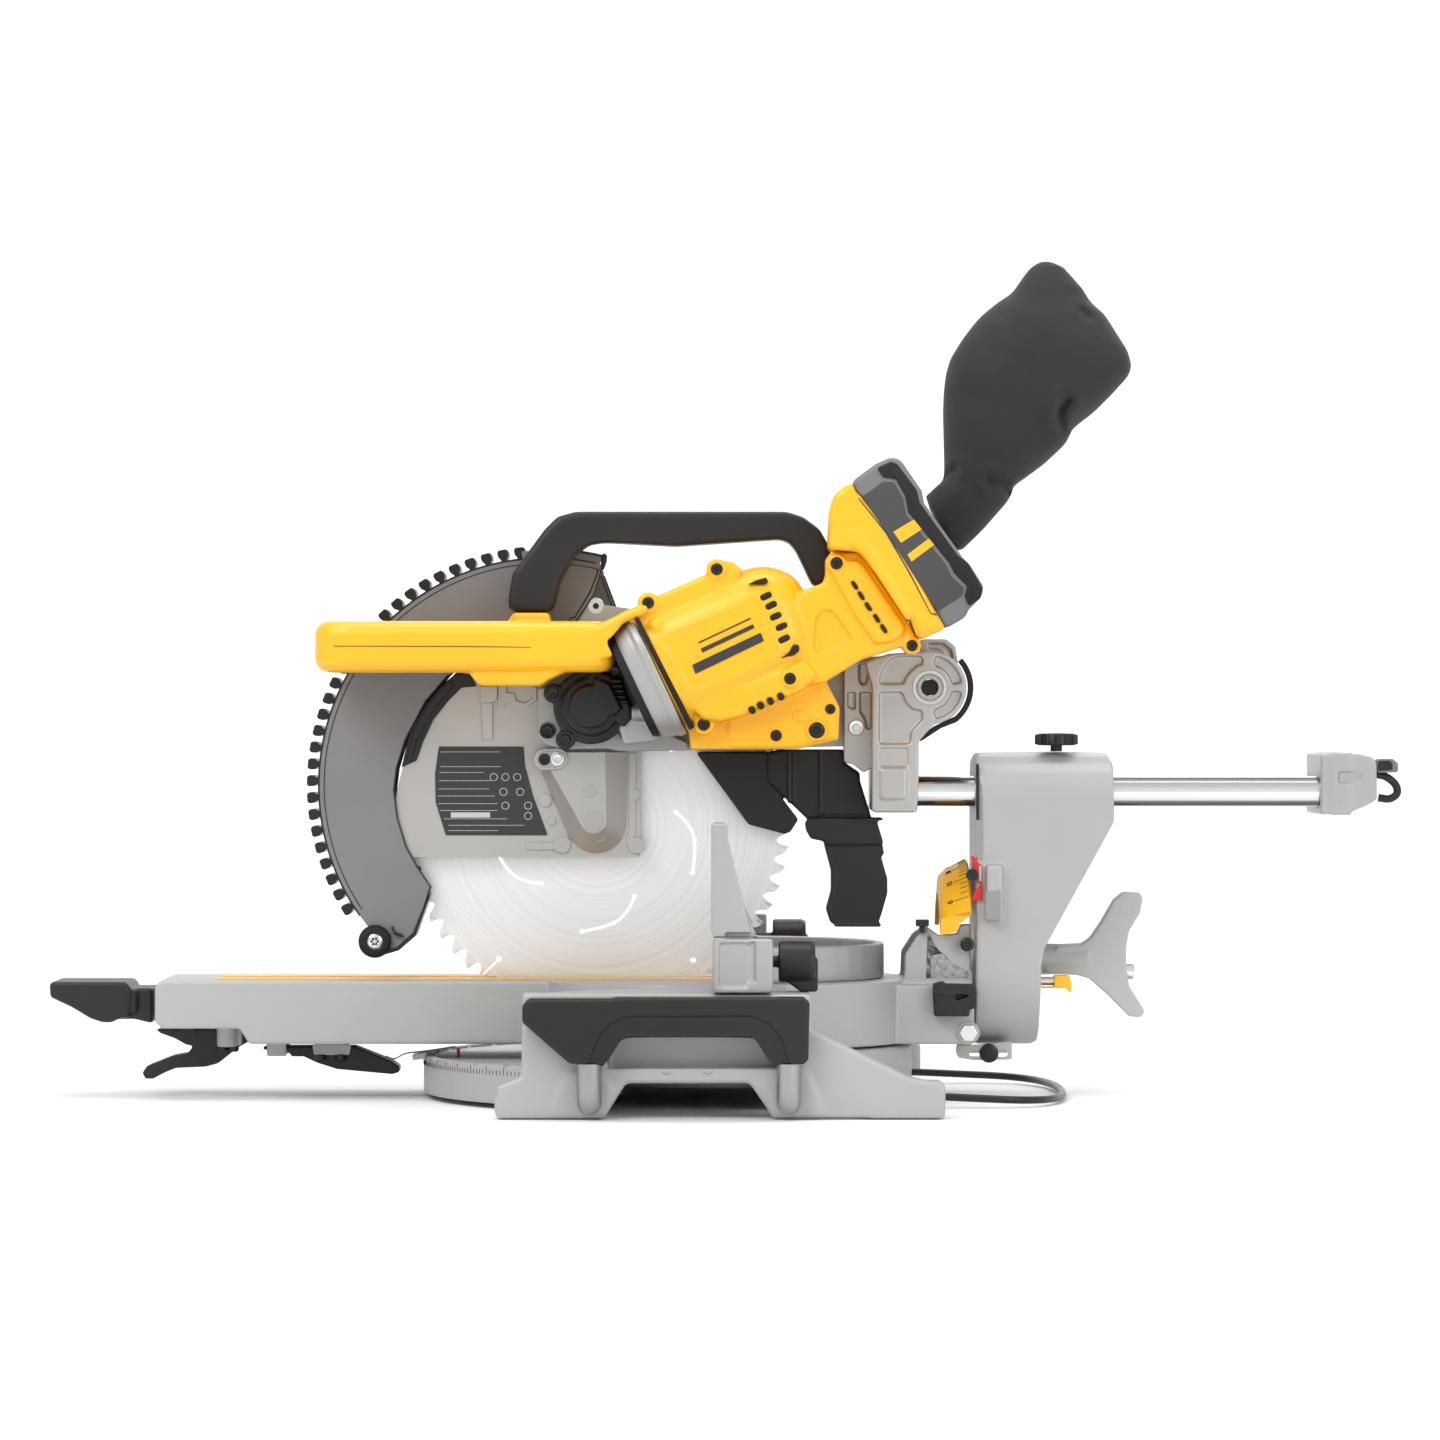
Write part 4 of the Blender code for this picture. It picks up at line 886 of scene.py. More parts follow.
def saw_blade():
    """Sixty hooked teeth with round gullets, five expansion slots and five curved damping slots."""
    outline = []
    count = 60
    for i in range(count):
        start = -math.tau * i / count
        for turn, radius in ((0.0, BLADE_R), (0.24, BLADE_R - 1.0), (0.42, BLADE_R - 3.2),
                             (0.55, BLADE_R - 7.2), (0.68, BLADE_R - 9.2), (0.8, BLADE_R - 9.4),
                             (0.9, BLADE_R - 7.6), (0.97, BLADE_R - 3.4)):
            angle = start - turn * math.tau / count
            outline.append((BLADE_X + radius * math.cos(angle), BLADE_Z + radius * math.sin(angle)))
    disc_piece = prism("saw_disc", outline, "Y", -1.0, 1.0, BLADE_STEEL)
    cutters = []
    for k in range(5):
        base = 232.6 + 72 * k
        cutters.append(prism("slot", polar_band([(base, 160), (base, 146), (base + 1, 132)], 0.7), "Y", -3, 3,
                             BLADE_STEEL))
        x, z = polar(base + 1, 131)
        cutters.append(prism("slot", disc(x, z, 2.2, 20), "Y", -3, 3, BLADE_STEEL))
        wave = [(k * 72 + 261.9 + 36 * t, 84.4 - 21 * t ** 1.7 - 2.2 * math.sin(t * math.tau) * (1 - t))
                for t in [n / 12 for n in range(13)]]
        cutters.append(prism("slot", polar_band(wave, 1.1), "Y", -3, 3, BLADE_STEEL))
        for angle, radius in (wave[0], wave[6], wave[-1]):
            x, z = polar(angle, radius)
            cutters.append(prism("slot", disc(x, z, 1.9, 16), "Y", -3, 3, BLADE_STEEL))
    combine(disc_piece, join("slots", cutters), "DIFFERENCE")
    return smooth(disc_piece, 30)


def polar(angle, radius):
    turn = math.radians(angle)
    return (BLADE_X + radius * math.cos(turn), BLADE_Z + radius * math.sin(turn))


def polar_band(path, half):
    """A narrow band either side of a path of (angle, radius) points."""
    points = [Vector(polar(*spot)) for spot in path]
    left = []
    right = []
    for i, point in enumerate(points):
        along = (points[min(i + 1, len(points) - 1)] - points[max(i - 1, 0)]).normalized()
        across = Vector((-along.y, along.x)) * half
        left.append(tuple(point + across))
        right.append(tuple(point - across))
    return left + right[::-1]


def carbide_tips():
    made = []
    for i in range(60):
        start = 360 - 6.0 * i
        corners = [polar(start - 0.05, BLADE_R), polar(start - 0.95, BLADE_R - 0.7),
                   polar(start - 0.8, BLADE_R - 5.6), polar(start + 0.1, BLADE_R - 5.4)]
        made.append(prism("tip", corners, "Y", -1.25, 1.25, STEEL))
    return join("carbide_tips", made)


def shield_ring(radius_out, radius_in, start, end, low, high, mat, name="ring"):
    outline = arc(SHIELD_X, SHIELD_Z, radius_out, start, end, 96)
    outline += arc(SHIELD_X, SHIELD_Z, radius_in, end, start, 96)
    return prism(name, outline, "Y", low, high, mat)


def shield():
    """Two smoky walls and a rim; the near wall is a crescent, the far wall reaches the arbor."""
    wall_r = 179.5
    toe = [(-266, 113), (-256, 115.5), (-243, 127), (-236, 145), (-229.5, 165)]
    edge = toe + [(-240, 179), (-249, 196), (-256, 218), (-259, 241), (-257, 258), (-250, 281), (-234, 311),
                  (-216, 332)]
    crescent = edge + [(-180, 362), (-134, 370)]
    end = [(-119, 370.5), (-115, 375), (-101.5, 395.5), (-97, 410), (-95.5, 415.5)]
    near = prism("near", arc(SHIELD_X, SHIELD_Z, wall_r, 76, 222, 90) + crescent + end, "Y", -21.4, -19.2,
                 SHIELD)
    back = [(-259, 121)] + crescent[2:] + [(-79, 370), (-84.8, 387), (-94.3, 412)]
    far = prism("far", arc(SHIELD_X, SHIELD_Z, wall_r, 76, 218, 90) + back, "Y", 19.2, 21.4, SHIELD)
    arm = arc(BLADE_X, BLADE_Z, 24, 210, 435, 40) + [(-79, 370), (-84.8, 387), (-94.3, 412), (-180, 364),
                                                     (-236, 312)]
    add(far, prism("arm", arm, "Y", 19.3, 21.3, SHIELD))
    cut(far, prism("c", disc(BLADE_X, BLADE_Z, 10.2, 40), "Y", 0, 60, SHIELD))
    rim = shield_ring(wall_r, wall_r - 4, 77.6, 215, -20.4, 20.4, SHIELD)
    brow = shield_ring(185.6, 175.6, 76.4, 96, -21.6, -14, SHIELD)
    return join("shield_walls", [soften(near, 0.5, 2), soften(far, 0.5, 2), soften(rim, 0.4, 1),
                                 soften(brow, 1.2, 3)])


def shield_teeth():
    """The comb of black lugs round the rim."""
    made = []
    for i in range(30):
        angle = math.radians(92.4 + 4.12 * i)
        out = Vector((math.cos(angle), math.sin(angle)))
        side = Vector((-out.y, out.x))
        base = Vector((SHIELD_X, SHIELD_Z))
        profile = [(-2.4, 176.5), (-2.2, 181), (-4.1, 183.5), (-4.4, 187), (-3.2, 189), (3.2, 189),
                   (4.4, 187), (4.1, 183.5), (2.2, 181), (2.4, 176.5)]
        outline = [tuple(base + out * up + side * across) for across, up in profile]
        made.append(soften(prism("lug", outline, "Y", -21, 21, GLOSS_BLACK), 0.5, 1))
    made.append(shield_ring(175.6, 174.9, 76, 214, -21.7, -21.3, GLOSS_BLACK))
    made.append(shield_ring(187.2, 185.2, 76.2, 91, -21.7, -14, GLOSS_BLACK))
    made.append(shield_ring(180.2, 178.8, 77.4, 215, -21.7, 21.7, GLOSS_BLACK))
    return join("shield_comb", made)


def shield_edges():
    """Dark bead along the crescent's inner edge, the lip at its top end and the hook by the roller."""
    path = [(-243.5, 128), (-236.8, 145), (-230.4, 165.2), (-241, 180.5), (-250, 197), (-256.6, 219),
            (-259.4, 241), (-257.4, 258), (-250.4, 281), (-234.6, 311), (-216.6, 332)]
    made = [tube("bead", [(x, -21.2, z) for x, z in path], 0.9, 0.7, 8, GLOSS_BLACK)]
    for line in ([(-119, 371), (-115, 375), (-101.5, 395.5), (-97, 410), (-95.5, 415.5), (-95.5, 426)],
                 [(-121.5, 372), (-120, 377), (-116.5, 377.5), (-104.5, 397.5), (-99.5, 410), (-98, 415.5)]):
        made.append(tube("lip", [(x, -21.5, z) for x, z in line], 0.55, 0.55, 8, GLOSS_BLACK))
    for line in ([(-94, 411), (-85, 387)], [(-96.5, 411), (-88, 387.5)]):
        made.append(tube("far_lip", [(x, 19.1, z) for x, z in line], 0.5, 0.5, 8, GLOSS_BLACK))
    knob = [(-95, 426), (-94.5, 428), (-92.5, 428), (-91, 426), (-91.5, 421), (-93.5, 415.5), (-95.5, 415)]
    made.append(soften(prism("corner", knob, "Y", -22.2, -14, GLOSS_BLACK), 0.6, 2))
    hook = [(-261.5, 133.5), (-260, 134), (-258.5, 129.5), (-253.5, 128), (-251, 126), (-253.5, 125),
            (-259, 127.5)]
    made.append(prism("hook", hook, "Y", -25, -21, GLOSS_BLACK))
    heel = [(-230, 160), (-235.4, 144.8), (-242, 126.4), (-255.6, 114.6), (-268, 111), (-267, 114.6),
            (-257, 117.4), (-244.4, 128.4), (-237.6, 145.4)]
    made.append(soften(prism("heel", heel, "Y", -22.4, 14, GLOSS_BLACK), 0.4, 2))
    return join("shield_edges", made)


def roller():
    x, z = ROLLER_X, ROLLER_Z
    tyre = smooth(lathe("roller_tyre", [(6.5, -29.4), (9, -30), (12, -29), (13, -27), (13, -24.6),
                                        (11.8, -22.6), (8, -22), (6.5, -22.4)], (x, 0, z), "Y", 40, RUBBER),
                  50)
    pin = smooth(lathe("pin", [(0, -27.5), (1.6, -27.5), (2.2, -29.2), (4.6, -29.4), (5.6, -28.6),
                               (6.4, -28.4), (6.4, -21.7), (4.2, -21.6), (4.2, 21), (0, 21)], (x, 0, z), "Y",
                       32, STEEL), 50)
    # Six near-black discs round the pin's socket: painted shade in its lobes.
    socket_shade_lobes = []
    for k in range(6):
        angle = math.radians(60 * k)
        socket_shade_lobes.append(prism("lobe", disc(x + 2.4 * math.cos(angle), z + 2.4 * math.sin(angle), 1.0, 10), "Y",
                            -29.6, -28.8, SHADE_AND_PRINT_DARK))
    return join("roller_wheel", [tyre, pin] + socket_shade_lobes)


fit(saw_blade(), "blade_body", "bright_steel", "blade")
fit(carbide_tips(), "blade_body", "bright_steel")
fit(shield(), "shield_body", "shield_grey", "lower_shield")
fit(shield_teeth(), "shield_body", "black_plastic")
fit(shield_edges(), "shield_body", "black_plastic")
fit(roller(), "roller_body", "black_rubber", "shield_roller")


# ------------------------------------------------------------------ dust chute


def dust_chute():
    left = [(-21.5, 271.5), (35.5, 271.5), (35.5, 250), (60, 218), (53.5, 208), (49, 206.5), (20.5, 214)]
    right = [(35.5, 271.5), (80, 279), (95.5, 280.5), (96.5, 263), (108.5, 255), (108.5, 248.5), (117.5, 220),
             (67, 218), (35.5, 248.5)]
    shapes = [soften(prism("left", rounded(left, 1.5, 2), "Y", -21, 21, CHUTE_BLACK), 2, 2),
              soften(prism("right", right, "Y", -24.5, 23, CHUTE_BLACK), 2, 2)]
    throat = [(77.5, 278.5), (95.5, 280), (96.5, 263), (108.5, 254), (108.5, 248.5), (117, 220.5),
              (79, 220.5)]
    shapes.append(soften(prism("throat", throat, "Y", -26.5, 20, CHUTE_BLACK), 2.5, 3))
    flange = [(67, 219.5), (126.5, 219.5), (126.5, 217.5), (67, 217.5)]
    shapes.append(prism("flange", flange, "Y", -30, 0, CHUTE_BLACK))
    neck = [(68, 218), (65, 215.5), (66, 209), (69.5, 203), (79, 201), (82.5, 198), (126.5, 198.5),
            (126.5, 201), (121.5, 217.5)]
    shapes.append(soften(prism("neck", rounded(neck, 2, 2), "Y", -30, -0.5, CHUTE_BLACK), 1.5, 2))
    boot = [(79.5, 200.5), (85.5, 178), (85.5, 162), (81.5, 147.5), (85, 137), (90.5, 134), (124, 134),
            (125, 135.5), (123, 137), (125.5, 144), (130, 160), (130, 171.5), (125, 189), (127.5, 191),
            (126, 198.5)]
    shapes.append(soften(prism("boot", rounded(boot, 2, 3), "Y", -28, -1, CHUTE_BLACK), 4, 3))
    lip = [(88, 135.5), (125, 135.5), (125, 133.5), (88.5, 133.5)]
    shapes.append(prism("lip", lip, "Y", -29, -0.5, CHUTE_BLACK))
    for x, foot in ((51.4, 231), (76, 221)):
        shapes.append(block("rib", (x, -27, foot), (x + 1.3, -20, 276), CHUTE_BLACK))
        shapes.append(block("rib", (x + 2.4, -26.4, foot + 1.5), (x + 3.4, -20, 276), CHUTE_BLACK))
    edge = [(81, 198.5), (82, 198.5), (87.5, 178), (87.5, 160), (84, 147), (86.5, 139), (84.5, 139),
            (82.5, 147), (86, 160.5), (86, 177.5)]
    shapes.append(prism("edge", edge, "Y", -28.6, -20, CHUTE_BLACK))
    x0, z0 = BLADE_X, BLADE_Z
    cutters = [lathe("c", [(0, -14), (156.5, -14), (156.5, 14), (0, 14)], (x0, 0, z0), "Y", 96, CHUTE_BLACK),
               block("c", (-80, -40, 273.2), (140, 40, 330), CHUTE_BLACK)]
    return moulded("chute_shell", shapes, cutters, 0.9, 3, 0.4)


fit(dust_chute(), "head_body", "black_plastic", "dust_chute")


# ------------------------------------------------------------------ battery


def battery_shapes():
    yellow = [(81.5, 428), (82.5, 457.5), (85.5, 470), (99.5, 480.5), (103.5, 472), (107, 469), (125, 447.5),
              (142, 421.5), (155, 399), (165.5, 379), (172.5, 367), (152, 358), (149, 363), (145, 374),
              (110.5, 419.5), (104.5, 426.5)]
    grey = [(99.5, 480.5), (118, 494), (130, 499.5), (137, 497.5), (153.5, 473.5), (155.5, 463.5),
            (185.5, 421.5), (191, 416), (201, 400), (200.5, 392), (189.5, 381), (188, 376), (172.5, 367),
            (165.5, 379), (155, 399), (142, 421.5), (125, 447.5), (107, 469), (103.5, 472)]
    return yellow, grey


def battery_pack():
    yellow, grey = battery_shapes()
    low = soften(prism("low", yellow, "Y", -128, -54, YELLOW), 4, 3)
    band = [(95, 433), (98, 443.5), (103.5, 444.5), (114, 430.5), (143.5, 382.5), (145.5, 373.5),
            (141.5, 374), (110, 422), (104, 427.5)]
    ridge = soften(prism("ridge", rounded(band, 2, 2), "Y", -129.5, -60, YELLOW), 1.6, 2)
    shelf = [(147.5, 379), (151.5, 378), (161, 373.5), (167, 370.5), (151, 362.5)]
    shelf_piece = soften(prism("shelf", rounded(shelf, 2, 2), "Y", -129.5, -60, YELLOW), 1.6, 2)
    body = moulded("pack_base", [low, ridge, shelf_piece], [], 0.9, 3, 0.4)
    top = moulded("pack_top", [soften(prism("top", grey, "Y", -127.4, -54.6, GREY), 4, 3)], [], 0.9, 3, 0.35)
    return body, top


def pack_bumper():
    outline = [(119, 490.5), (129.5, 495.5), (134.5, 493.5), (149.5, 473.5), (151.5, 464.5), (181, 423.5),
               (189, 417.5), (200.5, 397.5), (198.5, 390), (189.5, 384), (186.5, 392), (188.5, 399.5),
               (178.5, 409.5), (174.5, 417.5), (143, 456.5), (141, 468.5), (133.5, 482), (123.5, 483.5)]
    piece = soften(prism("pack_bumper", rounded(outline, 2, 3), "Y", -129.4, -53, RUBBER), 2, 3)
    return smooth(piece, 60)


def pack_label():
    """A plain grey face with two generic stripes."""
    face = [(108, 468.5), (123.5, 480), (132, 479.5), (139, 467), (141, 455), (172.5, 415.5), (176, 407.5),
            (186, 398), (184, 392), (165.5, 380)]
    made = [soften(prism("pack_face", rounded(face, 2, 3), "Y", -128.2, -126, PACK_FACE), 0.4, 2)]
    stripe = [(131.5, 441.5), (147.5, 451), (153.5, 443.5), (137.5, 433)]
    made.append(prism("stripe", stripe, "Y", -128.4, -127, YELLOW_FLAT))
    stripe = [(142.5, 424), (159, 436.5), (163, 431.5), (145.5, 418.5)]
    made.append(prism("stripe", stripe, "Y", -128.4, -127, YELLOW_FLAT))
    line = [(104.5, 467), (105, 467.5), (126.5, 441), (144.5, 410), (160.5, 379), (165.5, 378), (165, 377),
            (160, 378.5), (143.5, 409.5), (125.5, 440.5)]
    made.append(prism("line", line, "Y", -128.3, -126, LABEL))
    return join("pack_face", made)


pack_base, pack_top = battery_pack()
fit(pack_base, "battery_body", "yellow_plastic", "battery")
fit(pack_top, "battery_body", "battery_grey")
fit(pack_bumper(), "battery_body", "black_rubber")
fit(pack_label(), "battery_body", "battery_grey")
# ------------------------------------------------------------------ head support and rails


def cheek_pockets():
    """The sunk panels between the ribs of the near cheek."""
    made = []
    for start, end in ((8, 80), (-80, -8)):
        ring = arc(PIVOT_X, PIVOT_Z, 25.2, start, end, 18) + arc(PIVOT_X, PIVOT_Z, 17.4, end, start, 14)
        made.append(prism("pocket", rounded(ring, 2, 2), "Y", -70, -56.5, PLATE))
    upper = [(122.5, 324.5), (123, 330), (125.5, 337.5), (131.5, 344), (138.5, 346.5), (156.5, 346.5),
             (157, 340), (152, 338.5), (146.5, 333.5), (143, 328.5), (142, 324.5)]
    lower = [(122.5, 318.5), (140.5, 318.5), (143.5, 310.5), (149, 305), (156.5, 304), (156.5, 297),
             (148, 287.5), (146.5, 277.5), (122.5, 277.5)]
    foot = [(123, 275), (145.5, 275), (145.5, 260), (123, 260)]
    made.append(prism("pocket", rounded(upper, 2.5, 3), "Y", -70, -56.5, PLATE))
    made.append(prism("pocket", rounded(lower, 2.5, 3), "Y", -70, -57, PLATE))
    made.append(prism("pocket", rounded(foot, 1.2, 2), "Y", -70, -58.4, PLATE))
    return made


def head_support():
    leg = [(117, 224.5), (117, 322.5), (111.5, 342), (120, 345.5), (130.5, 348.5), (158.5, 350), (187, 321.5),
           (165.5, 293), (153.5, 279.5), (153.5, 251.5), (152, 224.5)]
    shapes = [prism("cheek", arc(PIVOT_X, PIVOT_Z, 28.9, 0, 354, 59), "Y", -60, -44, PLATE),
              prism("leg", rounded(leg, 2, 2), "Y", -60, -44, PLATE),
              prism("far_cheek", arc(PIVOT_X, PIVOT_Z, 28.9, 0, 354, 59), "Y", 44, 60, PLATE),
              prism("far_leg", rounded(leg, 2, 2), "Y", 44, 60, PLATE)]
    lower = [(117, 265), (153.5, 265), (153.5, 256.5), (152.5, 224), (117, 224)]
    shapes.append(soften(prism("clamp", rounded(lower, 3, 3), "Y", -60, 60, PLATE), 2.5, 3))
    belly = [(123, 258.5), (144.5, 258.5), (144, 234.5), (123.5, 234.5)]
    shapes.append(soften(prism("belly", rounded(belly, 2, 2), "Y", -62, -55, PLATE), 1.5, 3))
    cutters = cheek_pockets()
    for side in (-1, 1):
        cutters.append(lathe("c", [(0, 124.5), (12.6, 124.5), (12.6, 190), (0, 190)],
                             (0, side * RAIL_Y, RAIL_Z), "X", 40, PLATE))
    cutters.append(lathe("c", [(0, -70), (8.6, -70), (8.6, 70), (0, 70)], (PIVOT_X, 0, PIVOT_Z), "Y", 40,
                         PLATE))
    return moulded("head_support_shell", shapes, cutters, 0.9, 3, 0.35)


def pivot_bearing():
    # The near-black bore core is painted shade inside the bearing.
    made = [smooth(lathe("bearing", [(10.6, -60.2), (11, -61), (13.2, -61), (13.5, -60.2), (13.5, -50),
                                     (10.6, -50)], (PIVOT_X, 0, PIVOT_Z), "Y", 56, STEEL), 40),
            smooth(lathe("race", [(6.6, -60.4), (7, -61.2), (9.4, -61.2), (9.8, -60.4), (9.8, -50),
                                  (6.6, -50)], (PIVOT_X, 0, PIVOT_Z), "Y", 48, PLATE), 40),
            smooth(lathe("bore", [(0, -59.4), (6.2, -59.4), (6.2, 50), (0, 50)], (PIVOT_X, 0, PIVOT_Z), "Y",
                         40, SHADE_AND_PRINT_DARK), 40)]
    return join("pivot_bearing", made)


def stop_bumper():
    outer = arc(PIVOT_X, PIVOT_Z, 34.4, 42, -52, 34) + [(171, 290), (155, 279.5)]
    inner = [(155, 283.5), (165.5, 291.5)] + arc(PIVOT_X, PIVOT_Z, 30.2, -48, 42, 30)
    return soften(prism("stop_bumper", outer + inner, "Y", -56, -46, RUBBER), 0.8, 2)


def rail_bar(name, side):
    profile = [(0, 125.2), (11.2, 125.2), (12, 126), (12, 486), (11.2, 486.8), (0, 486.8)]
    return smooth(lathe(name, profile, (0, side * RAIL_Y, RAIL_Z), "X", 64, CHROME_PAINTED_REFLECTION), 30)


def rear_clamp():
    """The end block that joins the two rails, stepped down towards the tail."""
    outline = [(468.5, 270), (499, 270), (508.5, 267.5), (512.5, 263.5), (512.5, 234), (503.5, 229),
               (492.5, 224.5), (468.5, 222)]
    body = soften(prism("rear_clamp", rounded(outline, 2.2, 3), "Y", -56, 56, CASTING), 3, 3)
    shapes = [body]
    shapes.append(soften(prism("band", [(476, 271), (492.5, 271), (492.5, 222), (476, 222)], "Y", -57, 57,
                               CASTING), 1.5))
    cutters = [block("c", (482, -70, 247), (500, -54.6, 256), CASTING)]
    for side in (-1, 1):
        cutters.append(lathe("c", [(0, 440), (12.7, 440), (12.7, 487.6), (0, 487.6)],
                             (0, side * RAIL_Y, RAIL_Z), "X", 40, CASTING))
    return moulded("rear_clamp", shapes, cutters, 0.9, 3, 0.35)


def cord_keeper():
    tab = [(513, 266), (525.5, 266), (529.5, 262.5), (529.5, 255.5), (513, 255)]
    plate = soften(prism("tab", rounded(tab, 1.5, 2), "Y", -52, -34, GREY), 1, 2)
    path = [(512, -43, 254), (521, -43, 252.5), (529, -43, 246), (530.5, -43, 238.5), (524, -43, 234),
            (515, -43, 235.5)]
    loop = smooth(tube("loop", bend(path, 6), 3.1, 3.1, 16, BLACK), 60)
    inset = soften(prism("inset", rounded([(514, 264.5), (523, 264.5), (525, 262), (525, 257.5),
                                           (514, 256.5)], 1, 2), "Y", -52.6, -50, BLACK), 0.4, 2)
    return join("cord_keeper", [plate, loop, inset])


def slide_lock():
    profile = [(0, 271.9), (4.6, 271.9), (4.6, 276.4), (14.4, 276.6), (15.2, 277.4), (15.2, 284.2),
               (14.2, 285.8), (0, 286.4)]
    knob = smooth(lathe("slide_lock", profile, (262.5, -36, 0), "Z", 48, BLACK), 40)
    made = [knob]
    for i in range(12):
        angle = 2 * math.pi * i / 12
        spot = (262.5 + 15.1 * math.cos(angle), -36 + 15.1 * math.sin(angle), 0)
        made.append(smooth(lathe("grip", [(0, 277.2), (1.5, 277.2), (1.9, 278), (1.9, 284), (1.3, 285.2),
                                          (0, 285.2)], spot, "Z", 12, BLACK), 50))
    return join("slide_lock", made)


def arm_plate():
    """The ribbed web of the cutting head in front of the near cheek."""
    outline = [(95, 341.5), (118, 341.5), (119, 319), (119, 260), (111, 255), (103, 261.5), (95.5, 263),
               (95, 277)]
    shapes = [prism("web", rounded(outline, 2, 2), "Y", -43.2, -20, PLATE)]
    behind = [(155, 348.5), (155, 360), (176, 360), (183, 354.5), (185, 341.5), (183.5, 339), (167.5, 344.5)]
    shapes.append(prism("block", rounded(behind, 2, 2), "Y", -43.2, -12, PLATE))
    pockets = [[(107, 340.5), (115.5, 340.5), (115.5, 335.5), (113, 325), (109, 323.5), (107, 327.5)],
               [(107.5, 318.5), (117, 318.5), (117, 289), (113, 289), (111.5, 297), (107.5, 303)],
               [(98, 318.5), (104.5, 318.5), (104.5, 304), (98, 306.5)],
               [(161.5, 357), (173, 357), (179.5, 352), (181, 346), (178.5, 343.5), (171.5, 351),
                (161.5, 352.5)]]
    cutters = [prism("c", rounded(p, 1.5, 2), "Y", -60, -40, PLATE) for p in pockets]
    return moulded("arm_web", shapes, cutters, 0.9, 3, 0.4)


def arm_screw():
    x, z = (105, 290.5)
    head = smooth(lathe("arm_screw", [(0, -45.6), (2.6, -45.6), (3.2, -44.2), (5.6, -44.6), (6.4, -43.6),
                                      (6.4, -41), (0, -41)], (x, 0, z), "Y", 32, STEEL), 40)
    return head


fit(head_support(), "carriage_body", "warm_plate", "head_support")
fit(pivot_bearing(), "carriage_body", "bright_steel", "pivot_pin")
fit(stop_bumper(), "carriage_body", "black_rubber", "bumper")
fit(rail_bar("rail_bar_near", -1), "carriage_body", "chrome_rail", "rail_near")
fit(rail_bar("rail_bar_far", 1), "carriage_body", "chrome_rail", "rail_far")
fit(rear_clamp(), "carriage_body", "warm_plate", "rear_bracket")
fit(cord_keeper(), "carriage_body", "black_plastic", "cord_clamp")
fit(slide_lock(), "slide_knob_body", "black_plastic", "slide_knob")
fit(arm_plate(), "head_body", "warm_plate")
fit(arm_screw(), "head_body", "bright_steel")
# ------------------------------------------------------------------ column and bevel parts


def column_shell():
    """The casting that carries the rails: a flat box above, a round hub about the bevel axis below."""
    profile = [(198.2, 41), (198.2, 264), (201, 270.6), (262, 271.6), (302, 270.6), (306, 262), (306.4, 217),
               (252, 118), (249.4, 104), (248.4, 44), (244, 40.4), (203, 40.4)]
    hub = arc(0, 101, 61.4, 180, 360, 40)
    shoulder = [(62, 236), (61, 246), (57.5, 255), (51, 262.5), (42, 268), (31, 271), (22, 271.6)]
    plan = shoulder + [(-y, z) for y, z in reversed(shoulder)] + hub
    side = prism("column_shell", rounded(profile, 2.4, 3), "Y", -62, 62, BASE_CAST)
    front = prism("plan", plan, "X", 150, 350, BASE_CAST)
    combine(side, front, "INTERSECT")
    shapes = [side, soften(block("cap", (205.6, -72, 139.6), (219, -55, 183.4), BASE_CAST), 2.4, 3)]
    cutters = []
    for y in (-RAIL_Y, RAIL_Y):
        cutters.append(lathe("c", [(0, 150), (12.6, 150), (12.6, 360), (0, 360)], (0, y, RAIL_Z), "X", 40,
                             BASE_CAST))
    edge = [(197, 262), (203.6, 266), (203.6, 186), (197, 186)]
    cutters.append(prism("c", edge, "Y", -70, -60.8, BASE_CAST))
    cutters.append(block("c", (198.9, -70, 190), (201.9, -58.6, 260), BASE_CAST))
    return moulded("column_shell", shapes, cutters, 1.1, 3, 0.35)


def column_trim():
    """The narrow front face strip, a near-black block of painted shade in its groove and the shadow panel
    near the top; strip and panel are painted shade grey.
    """
    made = []
    made.append(soften(prism("strip", [(197.5, 218.5), (203.5, 218.5), (203.5, 187), (203, 185), (200, 187),
                                       (197.5, 191)], "Y", -61.6, -58, RECESS_SHADE), 0.3, 2))
    # Painted shade: a near-black block filling the groove by the rails.
    made.append(soften(block("rail_shade", (198.4, -60.4, 188), (200.6, -56, 262), SHADE_AND_PRINT_DARK), 0.3, 2))
    made.append(soften(prism("cap_face", [(205, 162.5), (217, 164), (217, 142), (216, 141), (205, 141)], "Y",
                             -72.4, -70, RECESS_SHADE), 0.3, 2))
    return join("column_trim", made)


def scale_band():
    """The coned bevel scale, in steps of a degree about the bevel axis."""
    section = [(170, 66.6), (171, 80.6), (175, 84.6), (192.4, 93.4), (194.6, 90), (176, 79), (173.5, 66)]
    rings = []
    for i in range(73):
        angle = math.radians(-54 + 108 * i / 72)
        rings.append([(x, r * math.sin(angle), TABLE_TOP + r * math.cos(angle)) for x, r in section])
    return soften(loft("scale_band", rings, YELLOW_FLAT), 0.8, 2, 30)


def scale_marks():
    """Raised strokes every 3.75 degrees, longer at each 15, with plain numerals beside them."""
    made = []
    for i in range(-12, 13):
        angle = math.radians(i * 3.75)
        reach = 0.62 if i % 4 == 0 else 0.34
        ends = []
        for t in (0.98, 0.98 - reach):
            x = 175 + 17.4 * t
            r = 84.6 + 8.8 * t + 0.25
            ends.append((x, r * math.sin(angle), TABLE_TOP + r * math.cos(angle)))
        made.append(tube("mark", ends, 0.32, 0.2, 6, SHADE_AND_PRINT_DARK))
    for i in range(-3, 4):
        made.append(numeral(str(45 - abs(i) * 15), math.radians(i * 15)))
    return join("scale_marks", made)


